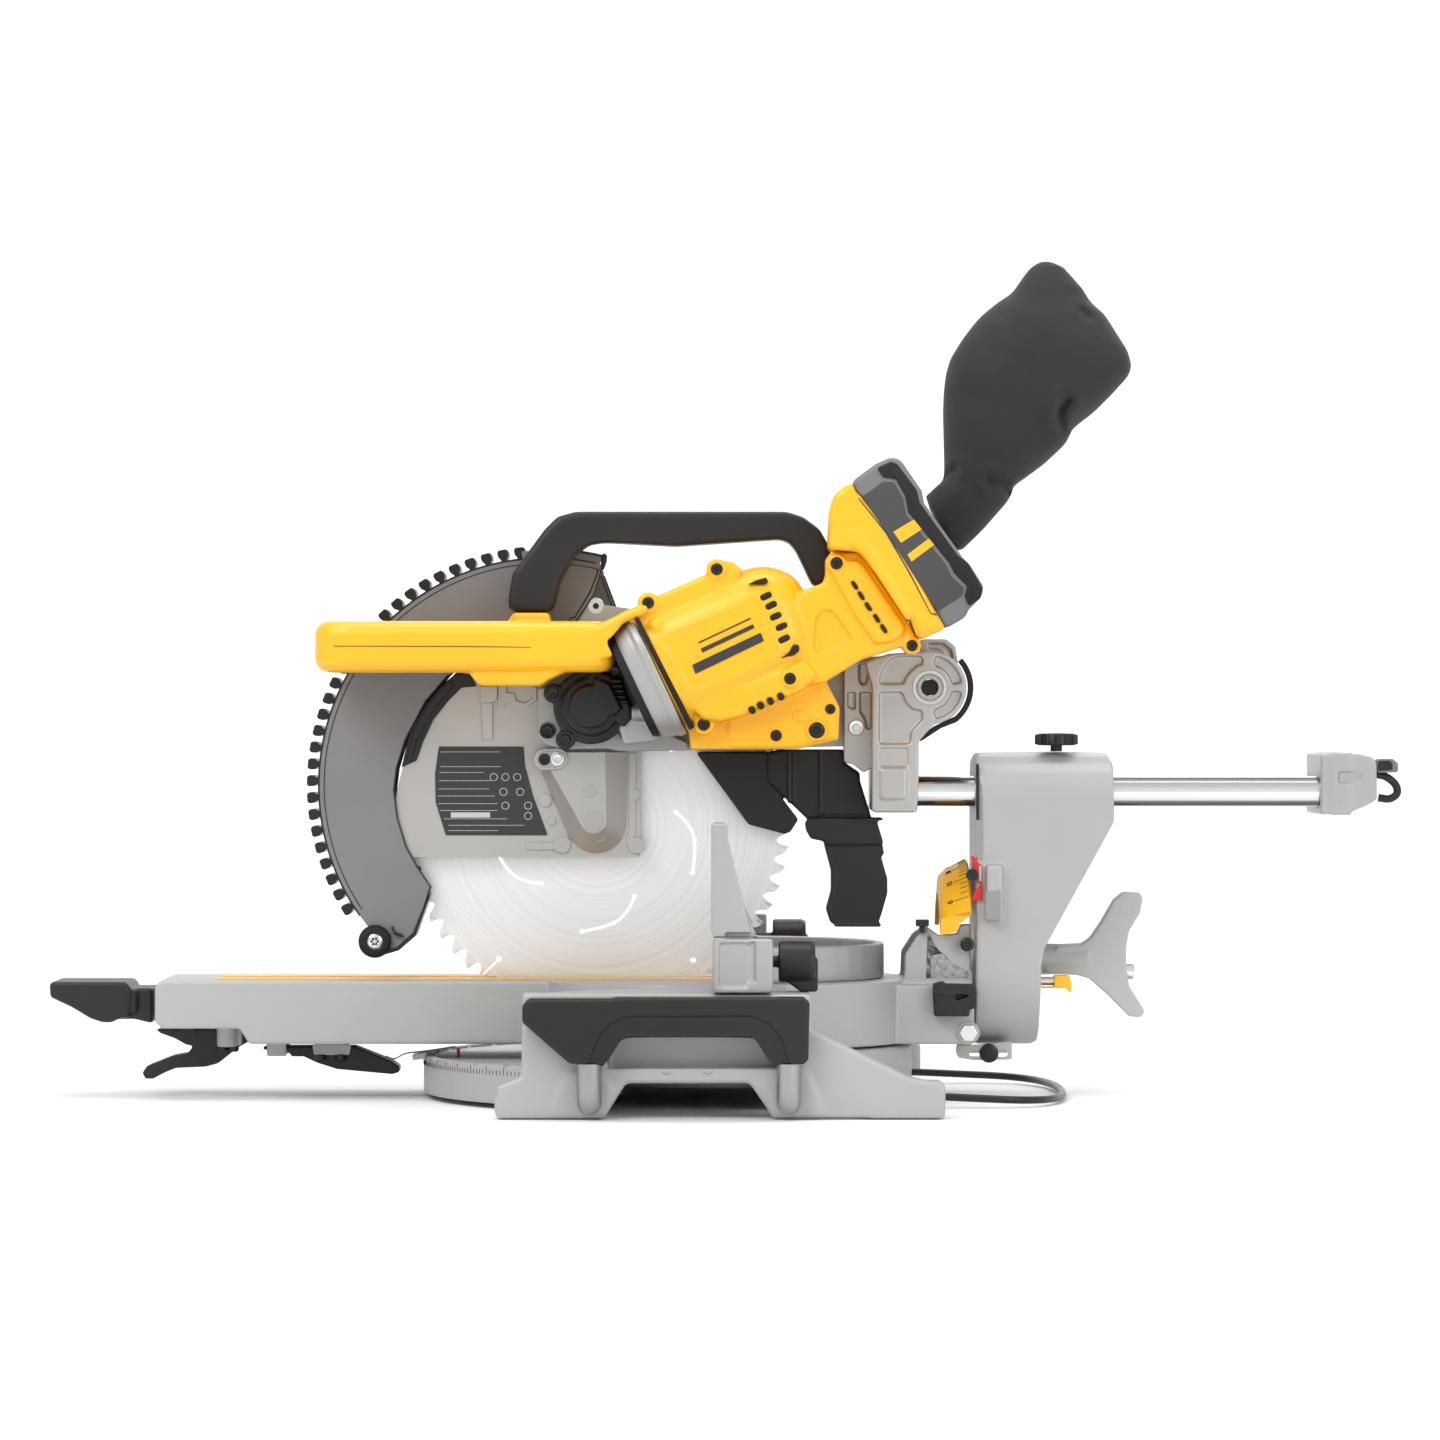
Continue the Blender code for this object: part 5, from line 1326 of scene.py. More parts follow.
def numeral(text, angle):
    """A raised numeral lying on the cone of the bevel scale."""
    letters = bpy.data.curves.new("numeral", "FONT")
    letters.body = text
    letters.size = 6.4 * MM
    letters.offset = 0.1 * MM
    letters.extrude = 0.15 * MM
    letters.align_x = "CENTER"
    letters.align_y = "CENTER"
    obj = bpy.data.objects.new("numeral", letters)
    bpy.context.scene.collection.objects.link(obj)
    mesh = bpy.data.meshes.new_from_object(obj)
    bpy.data.objects.remove(obj, do_unlink=True)
    made = bpy.data.objects.new("numeral", mesh)
    bpy.context.scene.collection.objects.link(made)
    mesh.materials.append(SHADE_AND_PRINT_DARK)
    out = Vector((0, math.sin(angle), math.cos(angle)))
    run = Vector((17.4, 0, 0)) + out * 8.8
    run.normalize()
    turn = run.cross(Vector((0, math.cos(angle), -math.sin(angle))))
    side = turn.cross(run)
    frame_rows = Matrix((side, -run, turn if turn.dot(out) > 0 else -turn)).transposed().to_4x4()
    spot = Vector((178.4, 0, TABLE_TOP)) + out * 86.6
    frame_rows.translation = (spot + Vector((SHIFT_X, 0, 0))) * MM
    mesh.transform(frame_rows)
    return made


def scale_end():
    """The solid end of the scale casting below its zero line."""
    outline = [(170, 140.5), (185, 147), (194, 150.5), (194, 145), (192, 142.5), (185, 137.5), (183, 131),
               (170.5, 128.5)]
    return soften(prism("scale_end", outline, "Y", -70, -58, YELLOW_FLAT), 0.6, 2)


def web_filler():
    """The casting between the arched web and the column."""
    outline = [(159.5, 135), (170, 127.5), (184, 129), (186.5, 136), (194.5, 136.5), (194.5, 89.5),
               (158, 89.5)]
    return soften(prism("web_filler", outline, "Y", -52, -36, BASE_CAST), 1.2, 2)


def pointer_clip():
    outline = [(195, 157), (198, 163.5), (203, 170.5), (203, 155.5), (195, 155)]
    made = [soften(prism("blade", outline, "Y", -64, -58.5, RED), 0.5, 2)]
    upper = [(194, 190), (197, 190), (200, 185), (203, 182.5), (203, 169), (199.5, 169), (198.5, 178.5),
             (195.5, 184)]
    made.append(soften(prism("body", upper, "Y", -63, -58.5, RED), 0.5, 2))
    made.append(soften(prism("window", [(200.5, 182.5), (202.5, 182.5), (202.5, 170.5), (200.5, 170.5)], "Y",
                             -63.8, -62, LABEL_LINE), 0.3, 1))
    return join("pointer_clip", made)


def pointer_screw():
    x, z = (195, 175.5)
    return smooth(lathe("pointer_screw", [(0, -67), (4.4, -67), (4.8, -66), (4.8, -61), (0, -61)], (x, 0, z),
                        "Y", 24, GLOSS_BLACK), 40)


def wing_handle():
    """The bevel lock: a stem that opens into two ribbed wings."""
    upper = [(254, 96), (264.5, 117.5), (283, 118.5), (291, 124), (299.5, 136.5), (310, 154.5),
             (317.5, 160.5), (330.5, 160), (332.5, 155), (330.5, 144), (322, 130), (319.5, 117.5),
             (319.5, 98.5), (322, 85.5), (333.5, 67.5), (333.5, 64), (330, 61), (321.5, 62), (307, 77),
             (290, 92), (277, 95.5)]
    wing = soften(prism("wing_handle", rounded(upper, 2.5, 3), "Y", -11, 11, BASE_CAST), 4.5, 4)
    shapes = [wing]
    stem = (277, 107)
    shapes.append(lathe("stem", [(0, 249.9), (12.5, 249.9), (12.2, 268), (13.2, 290), (0, 290)],
                        (0, 0, stem[1]), "X", 36, BASE_CAST))
    cutters = []
    for a, b in [(319, 154.5), (317, 150), (315.5, 146.5), (313.5, 142.5)]:
        cutters.append(tube("c", [(a - 8, -11.9, b + 1.4), (a + 9, -11.9, b - 1.2)], 1.5, 1.7, 8, BASE_CAST))
    for a, b in [(316, 79.5), (318.5, 76), (320.5, 72.5)]:
        cutters.append(tube("c", [(a - 9, -11.9, b), (a + 8, -11.9, b)], 1.5, 1.7, 8, BASE_CAST))
    return moulded("wing_handle", shapes, cutters, 0.9, 3, 0.4)


def handle_bolt():
    z = 97.5
    return smooth(lathe("handle_bolt", [(0, 318.5), (6.8, 318.5), (6.8, 325), (5.6, 326.4), (3, 326.4),
                                        (2.6, 324), (0, 324)], (0, 0, z), "X", 24, STEEL), 40)


def pin_knob():
    outline = [(251, 85.5), (251, 86.5), (261, 86.5), (261, 95.5), (272.5, 95.5), (273.5, 93.5),
               (274.5, 88.5), (274.5, 83), (272.5, 82), (270.5, 85.5)]
    made = [soften(prism("knob", rounded(outline, 1.2, 2), "Y", -38, -22, YELLOW), 1.4, 3)]
    z = 91
    made.append(smooth(lathe("shank", [(0, 250.4), (3.4, 250.4), (3.4, 264), (0, 264)], (0, -30, z), "X", 20,
                             STEEL), 40))
    return join("pin_knob", made)


def stop_bracket():
    """The slotted plate under the column with the screw that holds it."""
    outline = [(183.5, 40), (227, 43.5), (227.5, 42), (227.5, 30), (225, 29.5), (198, 29), (185.5, 31),
               (183.5, 35)]
    plate = prism("stop_bracket", rounded(outline, 1.5, 2), "Y", -37, -34, PLATE)
    slot = rounded([(194, 36), (224.5, 37.5), (224.5, 31.5), (194, 32)], 3, 3)
    cut(plate, prism("c", slot, "Y", -50, -20, PLATE))
    shelf = block("shelf", (185, -36, 34.6), (224, -14, 38.4), PLATE)
    add(shelf, block("tongue", (185, -36, 35), (195.6, -14, 42.5), PLATE))
    x, z = (209.5, 34.5)
    made = [soften(plate, 0.5, 2), soften(shelf, 0.6, 2)]
    made.append(smooth(lathe("screw", [(0, -41), (4, -41), (7.2, -40), (7.6, -37.4), (7.6, -33), (0, -33)],
                             (x, 0, z), "Y", 24, GLOSS_BLACK), 40))
    return join("stop_bracket", made)


def cable_holder():
    outline = [(164, 91), (172, 93), (174, 91), (197, 90.5), (198, 85), (198, 72), (192.5, 71), (192.5, 65.5),
               (165, 65.5), (164, 83)]
    clip = soften(prism("cable_holder", rounded(outline, 1.2, 2), "Y", -78, -64.4, BLACK), 1.2, 3)
    gap = [(181.5, 82.5), (191, 82.5), (191, 80.5), (181.5, 77.5)]
    shapes = [clip, soften(prism("band", rounded([(164, 85), (180.5, 85), (180.5, 82), (164, 82)], 0.4, 1),
                                 "Y", -78.6, -70, BLACK), 0.4)]
    return moulded("cable_holder", shapes, [prism("c", gap, "Y", -90, -72, BLACK)], 0.7, 2, 0.4)


fit(column_shell(), "column_body", "light_casting", "column")
fit(column_trim(), "column_body", "light_casting")
fit(scale_end(), "turntable_body", "yellow_plastic")
fit(web_filler(), "turntable_body", "light_casting")
fit(scale_band(), "turntable_body", "yellow_plastic", "bevel_scale")
fit(scale_marks(), "turntable_body", "yellow_plastic")
fit(pointer_clip(), "column_body", "red_pointer", "bevel_pointer")
fit(pointer_screw(), "column_body", "black_plastic")
fit(wing_handle(), "bevel_handle_body", "light_casting", "bevel_handle")
fit(handle_bolt(), "bevel_handle_body", "bright_steel")
fit(pin_knob(), "bevel_pin_body", "yellow_plastic", "bevel_pin")
fit(stop_bracket(), "turntable_body", "warm_plate", "stop_plate")
fit(cable_holder(), "turntable_body", "black_plastic", "cord_clip")
# ------------------------------------------------------------------ base, turntable, fence and their controls


def copy_of(node):
    """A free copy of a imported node's mesh, to build a finer skin on."""
    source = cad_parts[node]
    mesh = source.data.copy()
    mesh.transform(source.matrix_world)
    obj = bpy.data.objects.new(node + "_skin", mesh)
    bpy.context.scene.collection.objects.link(obj)
    return obj


def recoloured(obj, mat):
    obj.data.materials.clear()
    obj.data.materials.append(mat)
    return obj


def base_shell():
    """The cast base with its side bosses round the handle posts and its pads."""
    shapes = [recoloured(copy_of("base_casting"), BASE_CAST)]
    for side in (-1, 1):
        low, high = flank(side, 276, 279.6)
        front = [(-130, 1), (-121, 24.5), (-114.5, 33.5), (-107, 36), (-91, 34.5), (-85, 29), (-82, 20),
                 (-86, 1)]
        rear = [(37, 1), (32.5, 18), (25.5, 26.5), (38, 33.5), (56.5, 35.5), (65, 32), (71.5, 15.5), (75, 1)]
        rim = [(-132, 37), (-112, 38), (65.5, 38), (65.5, 29), (-132, 28)]
        shapes.append(soften(prism("boss", rounded(front, 4, 3), "Y", low, high, BASE_CAST), 1.2, 2))
        shapes.append(soften(prism("boss", rounded(rear, 4, 3), "Y", low, high, BASE_CAST), 1.2, 2))
        shapes.append(soften(prism("rim", rounded(rim, 3, 2), "Y", *flank(side, 270, 278.6), BASE_CAST), 1,
                             2))
        toe = [(-170, 1), (-170, 15), (-162.5, 24), (-132, 26.5), (-132, 1)]
        shapes.append(soften(prism("toe", rounded(toe, 4, 3), "Y", *flank(side, 252, 278), BASE_CAST), 2.5,
                             3))
        heel = [(138, 27.5), (162, 27.5), (166, 24), (166, 1), (138, 1)]
        shapes.append(soften(prism("heel", rounded(heel, 3, 3), "Y", *flank(side, 250, 278), BASE_CAST), 3,
                             3))
        near, far = flank(side, 264, 277)
        shapes.append(block("sole", (36, near, 0.4), (114, far, 16), BASE_CAST))
        near, far = flank(side, 255, 257)
        shapes.append(block("panel", (-85, near, 35), (44, far, 63), BASE_CAST))
    cutters = []
    for side in (-1, 1):
        for x, z in ((-147, 22.5), (150, 26)):
            cutters.append(lathe("c", [(0, z - 2.4), (6.5, z - 2.4), (6.5, z + 8), (0, z + 8)],
                                 (x, side * 264, 0), "Z", 24, BASE_CAST))
    return moulded("base_shell", shapes, cutters, 1.6, 4, 0.3)


def base_marks():
    """Two small cast arrows on the near rim."""
    made = []
    y = -278.9
    tip = 32.5
    for x in (-41.5, -11):
        arrow = [(x - 3.4, y, tip + 2.2), (x, y, tip), (x + 3.4, y, tip + 2.2)]
        # Painted shade: the cast arrows take the darker recess grey.
        made.append(tube("mark", arrow, 0.35, 0.4, 6, RECESS_SHADE))
    return join("base_marks", made)


def turntable_shell():
    shapes = [recoloured(copy_of("turntable"), BASE_CAST)]
    for side in (-1, 1):
        panel = [(-444, 58), (-441.5, 81.5), (-189.5, 81.5), (-160.5, 73), (-160.5, 44.5), (-358, 44.5),
                 (-362.5, 53), (-367.5, 56)]
        shapes.append(soften(prism("panel", rounded(panel, 3, 3), "Y", *flank(side, 60, 62.3), BASE_CAST),
                             0.6, 2))
    for x, y in ((-391, -18), (-391, 18)):
        shapes.append(lathe("post", [(0, 38.5), (8.4, 38.5), (8.4, 56), (0, 56)], (x, y, 0), "Z", 28,
                            BASE_CAST))
    return moulded("turntable_shell", shapes, [], 1.3, 3, 0.25)


def turntable_details():
    """Screws in the table, the lug screws below the arm and the black blocks behind the fence."""
    made = []
    for x, y in ((-370, 30), (-200, 30), (-30, 30), (-370, -30), (-200, -30), (-30, -30)):
        made.append(smooth(lathe("plate_screw", [(0, 92), (1.2, 92.2), (1.6, 93.1), (3.2, 93.1), (3.5, 92),
                                                 (0, 90)], (x, y, 0), "Z", 20, STEEL), 40))
    for x in (-395, -386):
        made.append(smooth(lathe("lug_screw", [(0, 34.6), (3, 34.6), (4.2, 36), (4.2, 39), (0, 39)],
                                 (x, -18, 0), "Z", 18, GLOSS_BLACK), 40))
    x, z = (191.5, 121)
    made += screw(x, -62.6, z, 5.4, GLOSS_BLACK, depth=6)
    made.append(soften(block("clamp_block", (151.3, -60, 135), (161.5, -50, 140.3), BLACK), 0.6, 2))
    made.append(soften(block("clamp_foot", (154, -59, 130), (158.5, -50, 135), BLACK), 0.6, 2))
    return join("turntable_details", made)


def hub_bolt():
    x, z = (192, 52)
    made = [smooth(lathe("hub_washer", [(0, -65), (8.8, -65), (9.2, -64), (9.2, -60), (0, -60)], (x, 0, z),
                         "Y", 32, PLATE), 40), soften(lathe("hub_bolt",
                                                            [(0, -69.4), (7.2, -69.4), (7.2, -64), (0, -64)],
                                                            (x, 0, z), "Y", 6, STEEL), 0.6, 2)]
    return join("hub_bolt", made)


def fence_shell():
    shapes = [recoloured(copy_of("fixed_fence"), CASTING)]
    cutters = []
    for side in (-1, 1):
        end = [(-7.5, 93.6), (37.5, 93.6), (37.5, 133.8), (-7.5, 133.8)]
        shapes.append(soften(prism("end", rounded(end, 2, 3), "Y", *flank(side, 274.5, 279.6), CASTING), 0.8,
                             2))
        pocket = [(-3, 97), (19, 97), (19, 131), (-3, 131)]
        slot = [(20.8, 101), (24.4, 101), (24.4, 132), (20.8, 132)]
        cutters.append(prism("c", rounded(pocket, 2, 3), "Y", *flank(side, 277.8, 290), CASTING))
        cutters.append(prism("c", slot, "Y", *flank(side, 276.6, 290), CASTING))
    return moulded("fence_shell", shapes, cutters, 1.2, 3, 0.3)


def upper_fence_shell(side, name):
    body = recoloured(copy_of("upper_fence_" + name), CASTING)
    top = [(-8.5, 219.5), (3.5, 219.5), (4, 207.5), (20.5, 139.5), (20.5, 138.4), (-8.5, 138.4)]
    end = soften(prism("end", rounded(top, 1, 2), "Y", *flank(side, 273, 278.4), CASTING), 0.8, 2)
    return moulded("upper_fence_shell_" + name, [body, end], [], 0.9, 2, 0.4)


def fence_grip(side, name):
    """The lobed clamp knob on its short stud."""
    face = [(47, 125), (53, 127), (65.5, 127), (69, 119), (71.5, 117), (71.5, 93.5), (69.5, 92.5),
            (58.5, 92.5), (47, 101), (44, 109.5), (44, 118)]
    shapes = [soften(prism("fence_grip", rounded(face, 1.6, 3), "Y", *flank(side, 229, 243), BLACK), 2, 3)]
    stud_end = (0, side * 236, 115)
    shapes.append(lathe("core", [(0, 42), (15, 42), (15.5, 44), (15.5, 66), (14, 69.5), (0, 69.5)], stud_end,
                        "X", 36, BLACK))
    shapes.append(lathe("stud", [(0, 9), (4.4, 9), (4.4, 46), (0, 46)], stud_end, "X", 20, BLACK))
    cutters = []
    for i in range(3):
        z = 103 - i * 3.4
        cutters.append(tube("c", [(54.5 + i, side * 243.6, z), (68, side * 243.6, z)], 0.9, 1.0, 8, BLACK))
    return moulded("fence_grip_" + name, shapes, cutters, 0.7, 2, 0.4)


def miter_grip():
    outline = [(-529.5, 88.5), (-527.5, 90.5), (-470, 90.5), (-466.5, 87.5), (-465.5, 82.5), (-466.5, 62),
               (-472.5, 62.5), (-481, 58.5), (-487.5, 58.5), (-497, 61.5), (-512, 70.5), (-529, 78.5)]
    shapes = [soften(prism("miter_grip", rounded(outline, 3, 3), "Y", -36, 36, BLACK), 5, 3)]
    neck = [(-479, 85), (-449, 85.5), (-449, 57.5), (-464, 61), (-479, 60.5)]
    shapes.append(soften(prism("neck", neck, "Y", -30, 30, BLACK), 2, 3))
    band = [(-477.5, 84.5), (-460.5, 84.5), (-460.5, 66), (-477.5, 62.5)]
    shapes.append(soften(prism("band", band, "Y", -34, 34, BLACK), 2.5, 3))
    return moulded("miter_grip", shapes, [], 1.1, 5, 0.4)


def lock_lever():
    outline = [(-448.5, 52.5), (-368.5, 51.5), (-369, 45.5), (-384, 37), (-399, 25), (-408.5, 22.5),
               (-432, 21.5), (-440.5, 18), (-450, 13), (-456, 13), (-458.5, 17.5), (-455, 23), (-435, 31),
               (-423, 33), (-418, 39), (-424, 40), (-433, 45), (-444, 49)]
    shapes = [soften(prism("lock_lever", rounded(outline, 1.6, 3), "Y", -15, 15, BLACK), 2.2, 3)]
    x, z = (-422.5, 48.5)
    shapes.append(smooth(lathe("hub", [(0, -15.6), (6.8, -15.6), (7.6, -14.6), (7.6, 14.6), (6.8, 15.6),
                                       (0, 15.6)], (x, 0, z), "Y", 32, BLACK)))
    return moulded("lock_lever", shapes, [], 0.7, 3, 0.4)


def press_lever():
    outline = [(-363, 38.5), (-291, 38.5), (-273, 31.5), (-261, 26.5), (-255.5, 22.5), (-256, 18),
               (-261, 16.5), (-304.5, 20.5), (-320.5, 25.5), (-331, 30.5), (-340.5, 30.5), (-343.5, 34.5),
               (-355, 35), (-363, 36)]
    shapes = [soften(prism("press_lever", rounded(outline, 1.2, 3), "Y", -14, 14, BLACK), 1.6, 3)]
    return moulded("press_lever", shapes, [], 0.7, 2, 0.4)


def pointer_strip():
    """The sprung steel strip under the arm, its red cursor and the cast lug that holds the lever."""
    line = [(-265.5, 31.5), (-259, 28.5), (-250.5, 34), (-237, 35), (-210.5, 39)]
    path = bend([(x, -24, z) for x, z in line], 5)
    made = [smooth(tube("strip", path, 7, 0.6, 16, STEEL), 50)]
    made.append(soften(prism("pad", rounded([(-244.5, 33), (-233, 35), (-233, 30), (-244, 28.5)], 1, 2), "Y",
                             -30, -18, PLATE), 0.5, 2))
    cursor = [(-209.5, 37.5), (-207, 37.5), (-207.5, 27), (-209, 27)]
    made.append(soften(prism("cursor", cursor, "Y", -30, -20, RED), 0.3, 2))
    return join("pointer_strip", made)


def arm_lugs():
    made = []
    lug = [(-324, 40.5), (-293, 40.5), (-294.5, 32), (-322.5, 32)]
    made.append(soften(prism("lug", rounded(lug, 1.5, 2), "Y", -19.5, -15.9, BASE_CAST), 0.6, 2))
    z = 29.5
    for x in (-317.5, -301.5):
        made.append(smooth(lathe("lug_screw", [(0, z - 2.4), (3.2, z - 2.4), (4.4, z - 1), (4.4, z + 2.4),
                                               (0, z + 2.4)], (x, -17.7, 0), "Z", 18, GLOSS_BLACK), 40))
    return join("arm_lugs", made)


def carry_grip_side(side, name):
    outline = [(-148.5, 85), (-144, 90), (-82, 90), (-80, 91), (33.5, 91), (60.5, 91), (64.5, 87), (63.5, 45),
               (60, 41.5), (38.5, 42), (33.5, 45.5), (24.5, 59.5), (20.5, 62), (-70.5, 62), (-75.5, 59.5),
               (-84, 45.5), (-88, 41.5), (-113.5, 42), (-148.5, 72.5)]
    shapes = [soften(prism("side_grip", rounded(outline, 2.5, 3), "Y", *flank(side, 278.6, 301), BLACK), 3,
                     3)]
    relief = [(-100, 40.5), (-92, 62.5), (-84.5, 71), (-73, 77), (22, 77.5), (35.5, 71.5), (43.5, 61),
              (49.5, 40.5), (38.5, 40.5), (33.5, 45.5), (24.5, 59.5), (20.5, 62.5), (-70.5, 62.5),
              (-75.5, 59.5), (-84, 45.5), (-88, 40.5)]
    cutters = [prism("c", rounded(relief, 2, 3), "Y", *flank(side, 298.6, 320), BLACK)]
    roll = bend([(x, side * 290, z) for x, z in [(-95.5, 42), (-91, 56), (-77.5, 67.5), (-66.5, 69),
                                                 (17.5, 69), (30, 67), (40.5, 53), (44, 42)]], 6)
    return moulded("side_grip_" + name, shapes + [tube("roll", roll, 10.2, 8, 16, BLACK)], cutters, 1.0, 3,
                   0.4)


def grip_posts(side, name):
    made = []
    for x in (-99, 49):
        path = bend([(x, side * 290.5, 41.5), (x, side * 290.5, 12.5), (x, side * 279, 12.5)], 10)
        made.append(smooth(tube("grip_post", path, 9.2, 9.2, 40, POST), 60))
    return join("grip_posts_" + name, made)


def ring_scale():
    """The miter scale round the front of the base, notched; its marks come from ring_marks."""
    return moulded("ring_scale", [recoloured(copy_of("miter_scale"), BASE_CAST)], [], 0.9, 2, 0.4)


def ring_marks():
    made = []
    for i in range(-50, 51):
        angle = math.radians(180 + i)
        x, y = 236.6 * math.cos(angle), 236.6 * math.sin(angle)
        made.append(tube("tick", [(x, y, 25), (x, y, 31 if i % 5 == 0 else 28.5)], 0.22, 0.22, 6, SHADE_AND_PRINT_DARK))
    return join("ring_marks", made)


def stand_wire():
    path = bend([(66.6, -150, 13), (150, -150, 8.5), (268, -150, 3.3), (268, 150, 3.3), (150, 150, 8.5),
                 (66.6, 150, 13)], 14)
    return smooth(tube("stand_wire", path, 2.9, 2.9, 20, ROD), 60)


fit(base_shell(), "base", "light_casting", "base_casting")
fit(base_marks(), "base", "light_casting")
fit(turntable_shell(), "turntable_body", "light_casting", "turntable")
fit(turntable_details(), "turntable_body", "black_plastic")
fit(hub_bolt(), "turntable_body", "bright_steel")
fit(fence_shell(), "base", "light_casting", "fixed_fence")
for side, name in ((-1, "near"), (1, "far")):
    fit(upper_fence_shell(side, name), "upper_fence_" + name + "_body", "warm_plate", "upper_fence_" + name)
    fit(fence_grip(side, name), "fence_knob_" + name + "_body", "black_plastic", "fence_knob_" + name)
    fit(carry_grip_side(side, name), "base", "black_plastic", "carry_handle_" + name)
    fit(grip_posts(side, name), "base", "bright_steel", "handle_post_front_" + name,
        "handle_post_rear_" + name)
fit(miter_grip(), "turntable_body", "black_plastic", "miter_handle")
fit(lock_lever(), "miter_lock_body", "black_plastic", "miter_lock_lever")
fit(press_lever(), "detent_body", "black_plastic", "detent_lever")
fit(pointer_strip(), "turntable_body", "bright_steel", "miter_pointer")
fit(arm_lugs(), "turntable_body", "light_casting")
fit(ring_scale(), "base", "bright_steel", "miter_scale")
fit(ring_marks(), "base", "bright_steel")
fit(stand_wire(), "base", "dark_rod", "wire_stand")
# ------------------------------------------------------------------ dust bag

BAG_Y = 25.0
BAG_CREEP = 0.006


def bag_start():
    """The bag's filled form before it is blown up: ovals between its two edges, drawn in at each pinch."""
    left = [(158.5, 471.5), (166, 484), (171, 490.5), (170.5, 497), (171.5, 519.5), (172.5, 541),
            (174, 558.5), (176.5, 573.5), (180.5, 585.5), (190.5, 601), (202.5, 616), (211.5, 624),
            (221.5, 631.5), (231, 637), (235.5, 644), (241, 652), (247.5, 659.5), (253.5, 662)]
    right = [(188, 428), (207.5, 445), (229.5, 467), (237.5, 479.5), (259, 498), (276, 515.5), (281.5, 528),
             (297.5, 541), (312, 556.5), (325.5, 572.5), (326.5, 579.5), (323.5, 590.5), (316.5, 601),
             (304.5, 619.5), (292.5, 628.5), (287.5, 639), (271.5, 658), (262, 662)]
    deep = [19, 23, 25, 26, 33, 38, 39, 43, 45, 45.5, 45.5, 44, 40, 34, 31, 26, 15, 7]
    rings = []
    for (lx, lz), (rx, rz), depth in zip(left, right, deep):
        ring = []
        for up, out in superellipse(0.5, depth, 2.35, 56):
            t = 0.5 + up
            ring.append((rx + (lx - rx) * t, BAG_Y + out, rz + (lz - rz) * t))
        rings.append(ring)
    return loft("full_bag", rings, CLOTH)


def blow_up(bag):
    """A cloth pass that puffs the bag between its pinches, held to a few millimetres."""
    start = [v.co.copy() for v in bag.data.vertices]
    cloth = bag.modifiers.new("puff", "CLOTH")
    cloth.settings.quality = 6
    cloth.settings.mass = 0.25
    cloth.settings.tension_stiffness = 12
    cloth.settings.compression_stiffness = 12
    cloth.settings.shear_stiffness = 6
    cloth.settings.bending_stiffness = 0.6
    cloth.settings.use_pressure = True
    cloth.settings.uniform_pressure_force = 4.0
    cloth.settings.effector_weights.gravity = 0.0
    cloth.collision_settings.use_collision = False
    scene = bpy.context.scene
    for step in range(1, 21):
        scene.frame_set(step)
    bake(bag)
    scene.frame_set(1)
    for vertex, home in zip(bag.data.vertices, start):
        move = vertex.co - home
        if move.length > BAG_CREEP:
            vertex.co = home + move.normalized() * BAG_CREEP
    return bag


def crease(bag, line, depth, width):
    """Presses a fold into the near side of the bag along a line of (x, z) points."""
    spots = [Vector((x + SHIFT_X, z)) * MM for x, z in line]
    for vertex in bag.data.vertices:
        if vertex.co.y > (BAG_Y - 4) * MM:
            continue
        here = Vector((vertex.co.x, vertex.co.z))
        gap = 1.0
        for a, b in zip(spots, spots[1:]):
            t = max(0.0, min(1.0, (here - a).dot(b - a) / (b - a).length_squared))
            gap = min(gap, (here - a.lerp(b, t)).length)
        near = math.exp(-(gap / (width * MM)) ** 2)
        swell = math.exp(-((gap - 2.4 * width * MM) / (width * 1.4 * MM)) ** 2)
        vertex.co.y += (depth * near - depth * 0.3 * swell) * MM


def full_bag():
    bag = bag_start()
    voxel_skin(bag, 4.5)
    blow_up(bag)
    finer = bag.modifiers.new("finer", "SUBSURF")
    finer.levels = 1
    finer.render_levels = 1
    bake(bag)
    crease(bag, [(169.5, 488.5), (175, 490), (183.5, 495.5)], 6, 3.0)
    crease(bag, [(211, 486.5), (219, 485.5), (228, 478), (235.5, 476)], 7, 3.4)
    crease(bag, [(272.5, 548.5), (267.5, 542), (267, 535.5), (271, 528), (279, 525)], 8, 3.6)
    crease(bag, [(284.5, 621), (289.5, 616.5)], 4, 3.0)
    crease(bag, [(228.5, 634.5), (223, 625.5), (221, 617.5)], 1.6, 4.0)
    crease(bag, [(269, 609), (277, 610.5), (285.5, 611)], 1.0, 5.0)
    bag.data.shade_smooth()
    bag.data.materials.clear()
    bag.data.materials.append(CLOTH)
    return bag


def duct_run():
    path = bend([(74, 20, 384), (110, 20, 400), (150, 20, 424), (172, 20, 446)], 8)
    made = [smooth(tube("duct_run", path, 14.6, 14.6, 36, CHUTE_BLACK), 50)]
    for x, z in ((80, 386.7), (146, 422)):
        a = Vector((x - 3, 20, z - 1.6))
        b = Vector((x + 3, 20, z + 1.6))
        made.append(smooth(tube("band", [a, b], 15.6, 15.6, 36, CHUTE_BLACK), 50))
    return join("duct_run", made)


bag_piece = fit(full_bag(), "bag_body", "bag_cloth", "dust_bag")
fit(duct_run(), "head_body", "black_plastic", "dust_duct")


# ------------------------------------------------------------------ CAD nodes that keep their shape


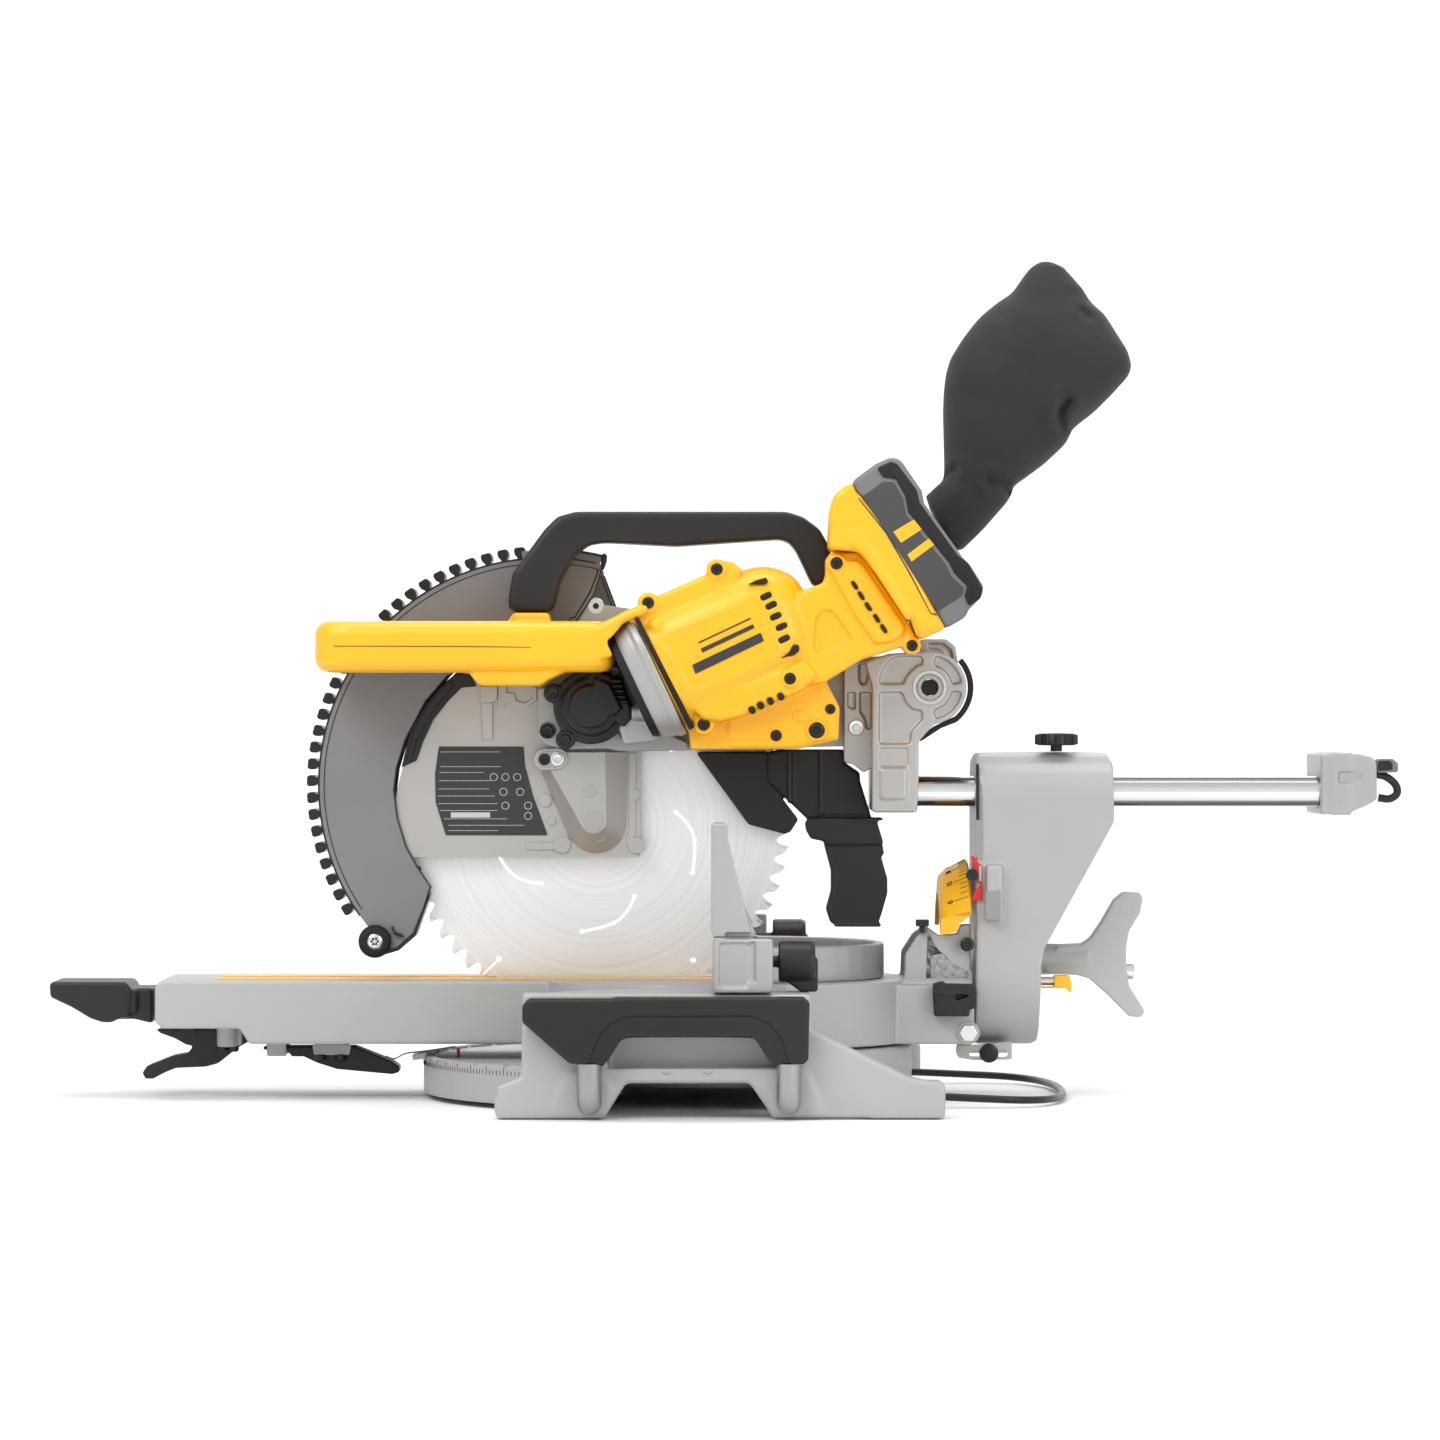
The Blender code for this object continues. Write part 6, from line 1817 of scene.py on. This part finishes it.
def dress(node, mat, width=0.0, segments=2, angle=35):
    """A carried-over node: its own material, rounded edges and smooth shading."""
    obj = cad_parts[node]
    for slot_index in range(len(obj.material_slots)):
        obj.material_slots[slot_index].material = mat
    if not obj.material_slots:
        obj.data.materials.append(mat)
    obj.data.shade_smooth()
    obj.data.set_sharp_from_angle(angle=math.radians(angle))
    if width:
        edge = obj.modifiers.new("soft_edges", "BEVEL")
        edge.width = width * MM
        edge.segments = segments
        edge.limit_method = "ANGLE"
        edge.angle_limit = math.radians(angle)
        edge.use_clamp_overlap = True
        edge.harden_normals = True
    return obj


def dress_kept_nodes():
    for kept, mat, width in KEPT:
        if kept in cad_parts:
            dress(kept, mat, width)


KEPT = [("kerf_plate_near", YELLOW_FLAT, 0.3), ("kerf_plate_far", YELLOW_FLAT, 0.3), ("head_arm", PLATE, 1.0),
        ("upper_guard", PLATE, 0.6), ("arbor", STEEL, 0.4), ("trigger", BLACK, 0.8)]
dress_kept_nodes()


# ------------------------------------------------------------------ floor, light and camera


def backdrop():
    """A pale floor that curves up behind the saw."""
    bm = bmesh.new()
    level = -0.001
    run = [(-3.2, level), (FLOOR_REACH, level)]
    run += [(FLOOR_REACH * (1 + math.sin(t)), level + FLOOR_REACH * (1 - math.cos(t)))
            for t in (0.2, 0.5, 0.8, 1.1, 1.35, math.pi / 2)]
    run += [(2 * FLOOR_REACH, 4.5)]
    low = [bm.verts.new((-6, y, z)) for y, z in run]
    high = [bm.verts.new((6, y, z)) for y, z in run]
    for i in range(len(run) - 1):
        bm.faces.new((low[i], high[i], high[i + 1], low[i + 1]))
    mesh = bpy.data.meshes.new("pale_floor")
    bm.to_mesh(mesh)
    bm.free()
    floor = bpy.data.objects.new("pale_floor", mesh)
    bpy.context.scene.collection.objects.link(floor)
    mat = surface("pale_floor", (0.9, 0.9, 0.9), (0.92, 0.92, 0.92), 0.75, grain=4, bump=0.01, patch=0.6)
    mesh.materials.append(mat)
    floor.data.shade_smooth()


def area_light(name, spot, target, size, power):
    data = bpy.data.lights.new(name, "AREA")
    data.shape = "RECTANGLE"
    data.size = size[0]
    data.size_y = size[1]
    data.energy = power
    light = bpy.data.objects.new(name, data)
    light.location = spot
    light.rotation_euler = (Vector(target) - Vector(spot)).to_track_quat("-Z", "Y").to_euler()
    bpy.context.scene.collection.objects.link(light)
    return light


def studio():
    world = bpy.data.worlds.new("studio")
    world.use_nodes = True
    world.node_tree.nodes["Background"].inputs["Color"].default_value = (1, 1, 1, 1)
    world.node_tree.nodes["Background"].inputs["Strength"].default_value = 0.75
    bpy.context.scene.world = world
    area_light("key", (-1.6, -2.6, 2.4), (0, 0, 0.25), (1.8, 1.2), 52)
    area_light("fill", (1.9, -2.4, 1.2), (0.1, 0, 0.3), (1.4, 1.4), 20)
    area_light("top", (0.1, -0.2, 2.6), (0.1, 0, 0.2), (2.2, 1.2), 26)
    area_light("rear", (0.4, 2.4, 1.8), (0, 0, 0.3), (2.4, 1.0), 30)


def camera():
    data = bpy.data.cameras.new("photo_view")
    data.lens = 141.9
    data.sensor_width = 36
    data.clip_end = 50
    eye = bpy.data.objects.new("photo_view", data)
    eye.location = ((-2.0 + SHIFT_X) * MM, -CAMERA_DISTANCE, CAMERA_HEIGHT)
    eye.rotation_euler = (math.pi / 2, 0, 0)
    bpy.context.scene.collection.objects.link(eye)
    bpy.context.scene.camera = eye


bpy.context.scene.view_settings.view_transform = "Standard"
backdrop()
studio()
camera()
